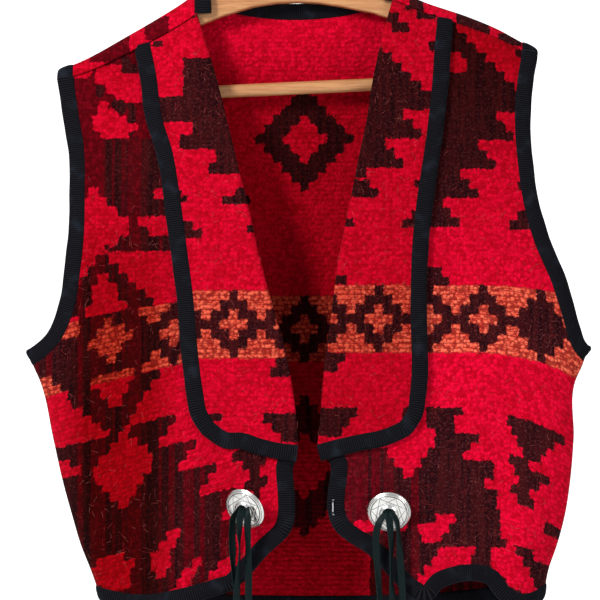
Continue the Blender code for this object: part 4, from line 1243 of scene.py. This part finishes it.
def lace(name, rows, material):
    """A limp flat lace along its route."""
    rows = np.array(rows, float)
    length = lengths_along(rows[:, :3] * MM)[-1]
    shares = np.linspace(0, 1, int(length / LACE_STEP) + 1)
    x, drop, fore = along(rows[:, :3], shares).T
    path = np.stack([x, -fore, -drop], axis=-1)
    keys = lengths_along(rows[:, :3])
    turn = np.radians(eased(keys, rows[:, 3], shares * keys[-1]))
    tangents = unit(np.gradient(path, axis=0))
    sideways = unit(np.cross(tangents, [0, 1, 0]))
    facing = np.cross(sideways, tangents)
    flatwise = sideways * np.cos(turn)[:, None] + facing * np.sin(turn)[:, None]
    thickwise = np.cross(tangents, flatwise)
    at = shares * length
    curl = LACE_CURL * np.sin(at / LACE_CURL_PITCH + x[0] * LACE_CURL_START)
    rings, strand = [], []
    for a, b in LACE_SECTION:
        raised = b * LACE_THICKNESS / 2 + curl * (1 - 2 * a * a)
        rings.append(path + flatwise * (a * LACE_WIDTH / 2) + thickwise * raised[:, None])
        strand.append(np.stack([at / MM, np.full_like(at, a), np.full_like(at, b)], axis=-1))
    rings, strand = np.stack(rings, axis=1), np.stack(strand, axis=1)
    made = swept(f"lace_{name}", rings, material, [("strand", strand)])
    dressed(made, f"lace_{name}")


def tube(name, path, radius, material, sides=16):
    """A round wire along a path."""
    tangents = unit(np.gradient(path, axis=0))
    aside = unit(np.cross(tangents, [0, 1, 0]) + 1e-9)
    other = np.cross(tangents, aside)
    turns = full_turn(sides)
    circle = aside[:, None] * np.cos(turns)[None, :, None] + other[:, None] * np.sin(turns)[None, :, None]
    return swept(name, path[:, None] + radius * circle, material)


def eye_place(front):
    """The middle of the eye's bar on the face of the right front's binding, and how far it leans."""
    points = front[0]
    row = np.argmin(np.abs(points[:, 0, 2] + EYE_DROP))
    edge = points[row, 0]
    middle = edge + unit(edge - points[row, 3]) * EYE_REACH
    middle[1] -= EYE_STAND + EYE_WIRE + SEAM_GAP
    above, below = points[row - 6, 0], points[row + 6, 0]
    return middle, (above[1] - below[1]) / (above[2] - below[2])


def eye_bar(front, material):
    """The straight metal eye, with a short foot at each end."""
    middle, lean = eye_place(front)
    bends = EYE_BENDS + [(0, 0)] + [(foot, -level) for foot, level in reversed(EYE_BENDS)]
    path = []
    for foot, level in bends:
        rise = level * EYE_HEIGHT
        path.append((middle[0] + foot * EYE_FOOT, middle[1] + lean * rise, middle[2] + rise))
    path = along(np.array(path) / MM, np.linspace(0, 1, 60))
    dressed(tube("eye_bar", path, EYE_WIRE, material, sides=12), "eye_bar")


def eye_threads(front, material):
    """A few turns of sewing thread round the bar near each end."""
    middle, lean = eye_place(front)
    turns = np.linspace(0, 2 * math.pi * THREAD_TURNS, 20 * THREAD_TURNS)
    wound = THREAD_PITCH * (turns / (2 * math.pi) - THREAD_TURNS / 2)
    for name, level in (("upper", THREAD_LEVEL), ("lower", -THREAD_LEVEL)):
        rise = level * EYE_HEIGHT + wound
        x, y = THREAD_LOOP * np.cos(turns), THREAD_LOOP * np.sin(turns) + lean * rise
        path = middle + np.stack([x, y, rise], axis=-1)
        added(tube(f"eye_thread_{name}", path, THREAD_RADIUS, material, sides=6))


def hanger_body(material):
    """The wooden arms, with their rounded edges and the steps at the bar's ends."""
    keys = np.array(column(HANGER, 0), float)
    x = np.unique(np.concatenate([keys, np.linspace(keys[0], keys[-1], 240)]))
    bottoms, halves = (np.interp(x, keys, column(HANGER, k)) * MM for k in (1, 2))
    tops = ridge(x * MM) + np.interp(np.abs(x), HANGER_NECK_ENDS, [HANGER_UNDER_NECK, HANGER_UNDER_CLOTH])
    rise = np.clip(1 - np.abs(x) / HANGER_HUB, 0, 1)
    tops = tops + (HANGER_CENTRE_DROP * MM - tops) * rise * (2 - rise)
    turns = full_turn(HANGER_SIDES)
    section_y, section_z = (np.sign(v) * np.abs(v) ** HANGER_SQUARE for v in (np.cos(turns), np.sin(turns)))
    rings = []
    for place, top, bottom, half in zip(x, tops, bottoms, halves, strict=True):
        bevel = HANGER_BEVEL * half
        straight = max((bottom - top) / 2 - bevel, 0)
        ring_z = section_z * bevel + np.sign(section_z) * straight - (top + bottom) / 2
        rings.append(np.stack([np.full(HANGER_SIDES, place * MM), section_y * half, ring_z], axis=-1))
    dressed(swept("hanger_body", rings, material), "hanger_body")


def hanger_bar(material):
    """The round trouser bar between the arms."""
    x = np.linspace(-BAR_END, BAR_END, 120)
    drop = BAR_DROP + BAR_SLOPE * (x - BAR_LEVEL_AT)
    path = np.stack([x, np.zeros_like(x), -drop], axis=-1) * MM
    dressed(tube("hanger_bar", path, BAR_RADIUS, material, sides=28), "hanger_bar")


def hanger_hook(material):
    """The steel hook: its bow, then the stem down into the arms."""
    turns = np.radians(np.linspace(*HOOK_TURNS, 70))
    x, z = HOOK_BOW * np.cos(turns), HOOK_BOW * np.sin(turns) - (HOOK_BOW - HOOK_WIRE)
    bow = np.stack([x, np.zeros_like(x), z], axis=-1)
    stem = along(HOOK_STEM, np.linspace(0, 1, 24))
    stem = np.stack([stem[:, 0], np.zeros(len(stem)), -stem[:, 1]], axis=-1)
    dressed(tube("hanger_hook", np.concatenate([bow, stem]), HOOK_WIRE, material), "hanger_hook")


# Materials


class Shader:
    """A Principled material and short ways to add and join its nodes."""

    def __init__(self, name, **constants):
        self.material = bpy.data.materials.new(name)
        self.material.use_nodes = True
        self.tree = self.material.node_tree
        self.surface = self.tree.nodes["Principled BSDF"]
        for title, value in constants.items():
            self.surface.inputs[title.replace("_", " ")].default_value = value

    def node(self, kind, inputs=(), **settings):
        made = self.tree.nodes.new("ShaderNode" + kind)
        for title, value in settings.items():
            setattr(made, title, value)
        for title, value in dict(inputs).items():
            self.give(made.inputs[title], value)
        return made

    def give(self, socket, value):
        if isinstance(value, bpy.types.NodeSocket):
            self.tree.links.new(value, socket)
        else:
            socket.default_value = value

    def math(self, operation, *values):
        made = self.node("Math", operation=operation)
        for socket, value in zip(made.inputs, values, strict=False):
            self.give(socket, value)
        return made.outputs[0]

    def times(self, value, factor):
        return self.math("MULTIPLY", value, factor)

    def plus(self, value, other):
        return self.math("ADD", value, other)

    def scaled(self, value, factor, offset):
        return self.math("MULTIPLY_ADD", value, factor, offset)

    def attribute(self, name, output="Vector"):
        return self.node("Attribute", attribute_name=name).outputs[output]

    def place(self):
        """The place on the object."""
        return self.node("TexCoord").outputs["Object"]

    def parts(self, vector):
        return self.node("SeparateXYZ", {"Vector": vector}).outputs[:]

    def joined(self, x, y, z=0.0):
        return self.node("CombineXYZ", {"X": x, "Y": y, "Z": z}).outputs[0]

    def noise(self, vector, scale, detail=2.0, roughness=0.5):
        inputs = {"Vector": vector, "Scale": scale, "Detail": detail, "Roughness": roughness}
        return self.node("TexNoise", inputs).outputs[0]

    def between(self, value, low, high, to_low=0.0, to_high=1.0):
        inputs = {"Value": value, "From Min": low, "From Max": high, "To Min": to_low, "To Max": to_high}
        return self.node("MapRange", inputs, interpolation_type="SMOOTHSTEP").outputs[0]

    def mix(self, share, first, second, blend="MIX"):
        made = self.node("Mix", data_type="RGBA", blend_type=blend, clamp_factor=True)
        self.give(made.inputs[0], share)
        for socket, value in ((made.inputs[6], first), (made.inputs[7], second)):
            self.give(socket, (*value, 1) if isinstance(value, tuple) and len(value) == 3 else value)
        return made.outputs[2]

    def graded(self, value, low, high, first, second):
        """From the first colour to the second while the value goes from low to high."""
        return self.mix(self.between(value, low, high), first, second)

    def flecked(self, colour, value, low, high, most, fleck):
        """The colour with up to a share of another while the value goes from low to high."""
        return self.mix(self.between(value, low, high, 0.0, most), colour, fleck)

    def finish(self, colour, roughness=None, height=None, strength=1.0, distance=1 * MM):
        self.give(self.surface.inputs["Base Color"], colour)
        if roughness is not None:
            self.give(self.surface.inputs["Roughness"], roughness)
        if height is not None:
            bump = self.node("Bump", {"Height": height, "Strength": strength, "Distance": distance})
            self.give(self.surface.inputs["Normal"], bump.outputs[0])
        return self.material


RED = (0.84, 0.002, 0.036)
RED_DEEP = (0.52, 0.0005, 0.013)
RED_PALE = (0.94, 0.024, 0.09)
DARK = (0.012, 0.0022, 0.004)
DARK_WARM = (0.056, 0.0062, 0.0075)
HEATHER_FLECK = (0.10, 0.026, 0.03)
WINE = (0.19, 0.0015, 0.009)
MAROON = (0.105, 0.001, 0.005)
ORANGE = (0.76, 0.088, 0.05)
CORAL = (0.92, 0.165, 0.09)
# Painted shade for the hollows between the band's loops and rows
BAND_HOLLOW_SHADE = (0.25, 0.004, 0.008)
# The colour by which the painted shade multiplies the wool
PAINTED_SHADE_COLOUR = (0.42, 0.17, 0.13)
SHADE_BETWEEN_LOOPS = (0.5, 0.4, 0.42)


def wool():
    """Felted blanket wool in rows of loops, with the chart's dark, striped and orange parts, and painted
    shade in the loops' hollows and over the panels.
    """
    made = Shader(
        "wool", Roughness=0.95, Specular_IOR_Level=0.02,
        Sheen_Weight=0.03, Sheen_Roughness=0.5, Sheen_Tint=(1.0, 0.5, 0.5, 1),
    )  # fmt: skip
    column_at, row_at, seed = made.parts(made.attribute("chart"))
    dark_edge, maroon_edge, stripe_edge = made.parts(made.attribute("ink"))

    # Rows of loops, two to a cell, a little uneven, with the loops about a third of a cell wide
    place = made.joined(column_at, row_at, seed)
    sway = made.scaled(made.noise(place, 0.8, 3), 0.44, -0.22)
    knitted_row = made.times(made.plus(row_at, sway), 2.0)
    between_rows = made.scaled(made.math("COSINE", made.times(knitted_row, 2 * math.pi)), 0.5, 0.5)
    stretched = made.joined(made.times(column_at, 2.7), made.times(knitted_row, 1.5), seed)
    legs = made.node("TexVoronoi", {"Vector": stretched, "Scale": 1.0, "Randomness": 0.8})
    loop = made.parts(legs.outputs["Color"])[0]
    crown = made.between(legs.outputs["Distance"], 0.75, 0.1)
    fine = made.noise(place, 9.0, 4, 0.65)
    broad = made.noise(place, 0.3, 3, 0.6)
    spread = made.plus(made.scaled(loop, 0.2, -0.1), made.scaled(fine, 0.24, -0.12))

    def inside(distance):
        return made.between(made.plus(distance, spread), 0.06, -0.06)

    # Plain ground and the band
    ground = made.graded(loop, 0.0, 0.9, RED_DEEP, RED)
    ground = made.flecked(ground, fine, 0.55, 0.75, 0.8, RED_PALE)
    ground = made.flecked(ground, broad, 0.35, 0.7, 0.35, RED_DEEP)
    band_low = inside(made.math("SUBTRACT", 0.0, row_at))
    band_high = inside(made.math("SUBTRACT", row_at, float(BAND_ROWS)))
    orange = made.graded(loop, 0.25, 0.95, ORANGE, CORAL)
    # Painted shade: darker red in the hollows between the band's loops and between its rows
    orange = made.flecked(orange, crown, 0.4, 0.05, 0.65, BAND_HOLLOW_SHADE)
    orange = made.flecked(orange, between_rows, 0.78, 1.0, 0.6, BAND_HOLLOW_SHADE)
    ground = made.mix(made.times(band_low, band_high), ground, orange)

    # Dark parts: heathered brown in faint upright streaks, and stripes of uneven width
    streak = made.noise(made.joined(column_at, made.times(row_at, 0.06), seed), 2.4, 2, 0.5)
    heather = made.graded(streak, 0.32, 0.72, DARK, DARK_WARM)
    heather = made.flecked(heather, loop, 0.55, 1.0, 0.8, DARK_WARM)
    heather = made.flecked(heather, fine, 0.55, 0.74, 0.75, WINE)
    heather = made.flecked(heather, made.noise(place, 5.0, 2), 0.54, 0.66, 0.8, HEATHER_FLECK)
    stripe_noise = made.noise(made.joined(column_at, 0.0, seed), 0.95, 1, 0.3)
    stripe = made.between(made.plus(stripe_noise, made.scaled(fine, 0.1, -0.05)), 0.46, 0.51)
    maroon = made.graded(loop, 0.2, 1.0, MAROON, WINE)
    stripe_colour = made.mix(made.between(streak, 0.3, 0.75, 0.15, 0.55), maroon, heather)
    darks = made.mix(made.times(inside(stripe_edge), stripe), heather, stripe_colour)
    colour = made.mix(inside(maroon_edge), ground, maroon)
    colour = made.mix(inside(dark_edge), colour, darks)
    hollow = made.math("MAXIMUM", made.between(crown, 0.55, 0.0), made.times(between_rows, 0.7))
    colour = made.mix(made.times(hollow, 0.6), colour, SHADE_BETWEEN_LOOPS, "MULTIPLY")
    # Painted shade: each panel darkened where less light falls on it
    colour = made.mix(made.attribute("painted_shade", "Fac"), colour, PAINTED_SHADE_COLOUR, "MULTIPLY")

    height = made.plus(made.times(crown, 0.7), made.times(fine, 0.5))
    height = made.math("SUBTRACT", height, made.times(between_rows, 0.6))
    return made.finish(colour, height=height, strength=0.75, distance=1.0 * MM)


def loose_fibre():
    """Hairs of red and pale wool."""
    made = Shader("loose_fibre", Roughness=0.7, Specular_IOR_Level=0.3)
    colour = made.graded(made.noise(made.place(), 60.0, 2), 0.4, 0.6, (0.4, 0.012, 0.02), (0.5, 0.11, 0.1))
    return made.finish(colour)


def sewing_thread():
    """Black thread with a little twist."""
    made = Shader("sewing_thread", Roughness=0.7, Specular_IOR_Level=0.2)
    twist = made.noise(made.place(), 2400.0, 2)
    colour = made.graded(twist, 0.4, 0.6, (0.003, 0.003, 0.005), (0.03, 0.035, 0.045))
    return made.finish(colour, height=twist, strength=0.4, distance=0.1 * MM)


def knit():
    """Blue-black ribbed knit with painted highlight on the ribs' crowns and painted shade between them, and
    a few pale fibres caught in it.
    """
    made = Shader(
        "binding_knit", Roughness=0.88, Specular_IOR_Level=0.05,
        Sheen_Weight=0.03, Sheen_Roughness=0.4, Sheen_Tint=(0.6, 0.8, 1.0, 1),
    )  # fmt: skip
    along_at, across_at, rib = made.parts(made.attribute("band"))
    place = made.joined(along_at, made.times(across_at, 0.5))
    fine = made.noise(place, 2.6, 4, 0.7)
    lint = made.noise(made.joined(along_at, made.times(across_at, 1.7), 4.0), 3.3, 1, 0.3)
    # Painted highlight on the ribs' crowns and painted shade in the valleys between them
    colour = made.graded(rib, -0.4, 1.0, (0.0018, 0.0018, 0.0028), (0.0105, 0.0105, 0.0145))
    colour = made.flecked(colour, fine, 0.58, 0.8, 0.6, (0.04, 0.045, 0.055))
    colour = made.flecked(colour, made.noise(place, 0.12, 2, 0.5), 0.5, 0.75, 0.5, (0.016, 0.02, 0.03))
    colour = made.flecked(colour, lint, 0.80, 0.86, 0.7, (0.35, 0.22, 0.22))
    return made.finish(colour, height=fine, strength=0.6, distance=0.7 * MM)


def silver():
    """Polished silver, worn a little, and dark in the engraved lines."""
    made = Shader("engraved_silver", Metallic=1.0)
    groove = made.attribute("groove", "Fac")
    place = made.place()
    wear = made.noise(place, 900.0, 3, 0.6)
    colour = made.mix(groove, (0.86, 0.86, 0.84), (0.09, 0.085, 0.08))
    colour = made.flecked(colour, made.noise(place, 90.0, 2, 0.5), 0.45, 0.75, 0.25, (0.55, 0.54, 0.52))
    roughness = made.plus(made.between(wear, 0.3, 0.7, 0.17, 0.3), made.times(groove, 0.3))
    return made.finish(colour, roughness, wear, strength=0.08, distance=0.2 * MM)


def leather():
    """Green-black lace leather, a little grained and wrinkled, with paler cut edges."""
    made = Shader("lace_leather", Specular_IOR_Level=0.1, Coat_Weight=0.02, Coat_Roughness=0.35)
    length_at, across_at, _ = made.parts(made.attribute("strand"))
    grain = made.noise(made.joined(length_at, made.times(across_at, 3.3)), 1.6, 4, 0.6)
    wrinkle = made.noise(made.joined(length_at, made.times(across_at, 0.6), 3.0), 0.35, 3, 0.6)
    colour = made.mix(grain, (0.0006, 0.003, 0.0032), (0.0024, 0.011, 0.0115))
    colour = made.flecked(colour, made.math("ABSOLUTE", across_at), 0.8, 1.0, 0.5, (0.006, 0.02, 0.02))
    roughness = made.between(grain, 0.3, 0.7, 0.38, 0.6)
    height = made.plus(grain, made.times(wrinkle, 2.0))
    return made.finish(colour, roughness, height, strength=0.5, distance=0.5 * MM)


def varnished_wood():
    """Pale wood under clear varnish, with its grain along the arms."""
    made = Shader("varnished_wood", Coat_Weight=0.35, Coat_Roughness=0.18)
    x, y, z = made.parts(made.place())
    lengthways = made.joined(made.times(x, 0.06), y, z)
    rings = made.noise(lengthways, 420.0, 4, 0.6)
    pores = made.noise(made.joined(made.times(x, 0.03), y, z), 1900.0, 2, 0.5)
    colour = made.graded(rings, 0.35, 0.7, (0.52, 0.25, 0.10), (0.36, 0.135, 0.045))
    colour = made.flecked(colour, made.noise(lengthways, 60.0, 2, 0.5), 0.4, 0.7, 0.5, (0.62, 0.32, 0.13))
    colour = made.flecked(colour, pores, 0.6, 0.75, 0.6, (0.16, 0.055, 0.02))
    roughness = made.between(rings, 0.3, 0.7, 0.35, 0.5)
    return made.finish(colour, roughness, pores, strength=0.15, distance=0.3 * MM)


def brushed_steel():
    """Plated steel wire."""
    made = Shader("plated_steel", Metallic=1.0)
    brushed = made.noise(made.place(), 2600.0, 3, 0.6)
    colour = made.graded(brushed, 0.35, 0.7, (0.62, 0.62, 0.64), (0.42, 0.42, 0.44))
    roughness = made.between(brushed, 0.3, 0.7, 0.2, 0.36)
    return made.finish(colour, roughness, brushed, strength=0.1, distance=0.1 * MM)


# Camera, floor and light


def camera():
    made = linked("camera", bpy.data.cameras.new("camera"))
    made.location = (VIEW_CENTRE[0] * MM, -CAMERA_DISTANCE, VIEW_CENTRE[1] * MM)
    made.rotation_euler = (math.pi / 2, 0, 0)
    made.data.sensor_width = SENSOR
    made.data.lens = SENSOR * (CAMERA_DISTANCE + VIEW_PLANE) / VIEW_WIDTH
    bpy.context.scene.camera = made


def staged(name, corners, material):
    """A flat sheet of the studio."""
    mesh = bpy.data.meshes.new(name)
    mesh.from_pydata(corners, [], [list(range(len(corners)))])
    mesh.materials.append(material)
    linked(name, mesh)


def floor_and_backdrop():
    turns = full_turn(64)
    x, y = FLOOR_RADIUS * np.cos(turns), FLOOR_RADIUS * np.sin(turns)
    pale = Shader("floor", Roughness=0.9, Base_Color=(0.86, 0.855, 0.85, 1))
    staged("floor", np.stack([x, y, np.full_like(x, -FLOOR_DROP)], axis=-1).tolist(), pale.material)
    half = BACKDROP_WIDTH / 2
    square = ((-half, -half), (half, -half), (half, half), (-half, half))
    corners = [(x, BACKDROP_BEHIND, z) for x, z in square]
    glow = Shader("backdrop", Emission_Color=(1, 1, 1, 1), Emission_Strength=1.0)
    staged("backdrop", corners, glow.material)


def lights():
    target = np.array([0, 0, VIEW_CENTRE[1] * MM])
    for name, place, size, power in LAMPS:
        light = bpy.data.lights.new(name, "AREA")
        light.shape = "DISK"
        light.size, light.energy = size, power
        lamp = linked(name, light)
        lamp.location = place
        x, y, z = target - np.array(place)
        lamp.rotation_euler = (math.atan2(math.hypot(x, y), -z), 0, math.atan2(x, -y) + math.pi)
    world = bpy.data.worlds.new("studio")
    world.use_nodes = True
    background = world.node_tree.nodes["Background"]
    background.inputs["Color"].default_value = WORLD_COLOUR
    background.inputs["Strength"].default_value = WORLD_STRENGTH
    bpy.context.scene.world = world
    bpy.context.scene.view_settings.view_transform = "Standard"


# The vest


def panel(node, points, normals, places, cloth, present=None, **laid):
    """A panel of wool with its chart, in place of the CAD node."""
    made = shell(node, points, normals, cloth, charted(node, places), present)
    dressed(made, node)


def build():
    cloth, band, metal, hair, thread = wool(), knit(), silver(), loose_fibre(), sewing_thread()
    hide, wood, steel = leather(), varnished_wood(), brushed_steel()
    for name, rows in LACES.items():
        lace(name, rows, hide)

    back = back_grid()
    hung = {"held": "hung", "rests_on": ["hanger_body"]}
    panel("back", *back[:3], cloth, back[3], flat=(0.53, 0.59), area=BACK_AREA, **hung)
    hem_binding(back, band)
    neck_binding(back, band)
    fibres("fibres_back", back[:3], PANEL_FIBRES, (BACK_OVER_ROWS + 2) * BACK_FINE, hair)
    for side in SIDES:
        front, lapel = front_grid(side), lapel_grid(side)
        panel(f"front_{side}", tucked(*front), *front[1:], cloth, flat=(0.26, 0.55), area=FRONT_AREA, **hung)
        folded = {"held": "folded", "rests_on": [f"front_{side}"]}
        panel(f"lapel_{side}", *lapel, cloth, flat=(0.12, 0.4), area=LAPEL_AREA, **folded)
        fibres(f"fibres_front_{side}", front, PANEL_FIBRES, 3 * FRONT_FINE, hair)
        fibres(f"fibres_lapel_{side}", lapel, LAPEL_FIBRES, LAPEL_FINE, hair)
        armhole_binding(side, front, back, band)
        front_binding(side, front, band)
        lapel_binding(side, lapel, band)
        concho(side, metal)
        if side == "right":
            eye_bar(front, steel)
            eye_threads(front, thread)
    hanger_body(wood)
    hanger_bar(wood)
    hanger_hook(steel)


camera()
floor_and_backdrop()
lights()
build()
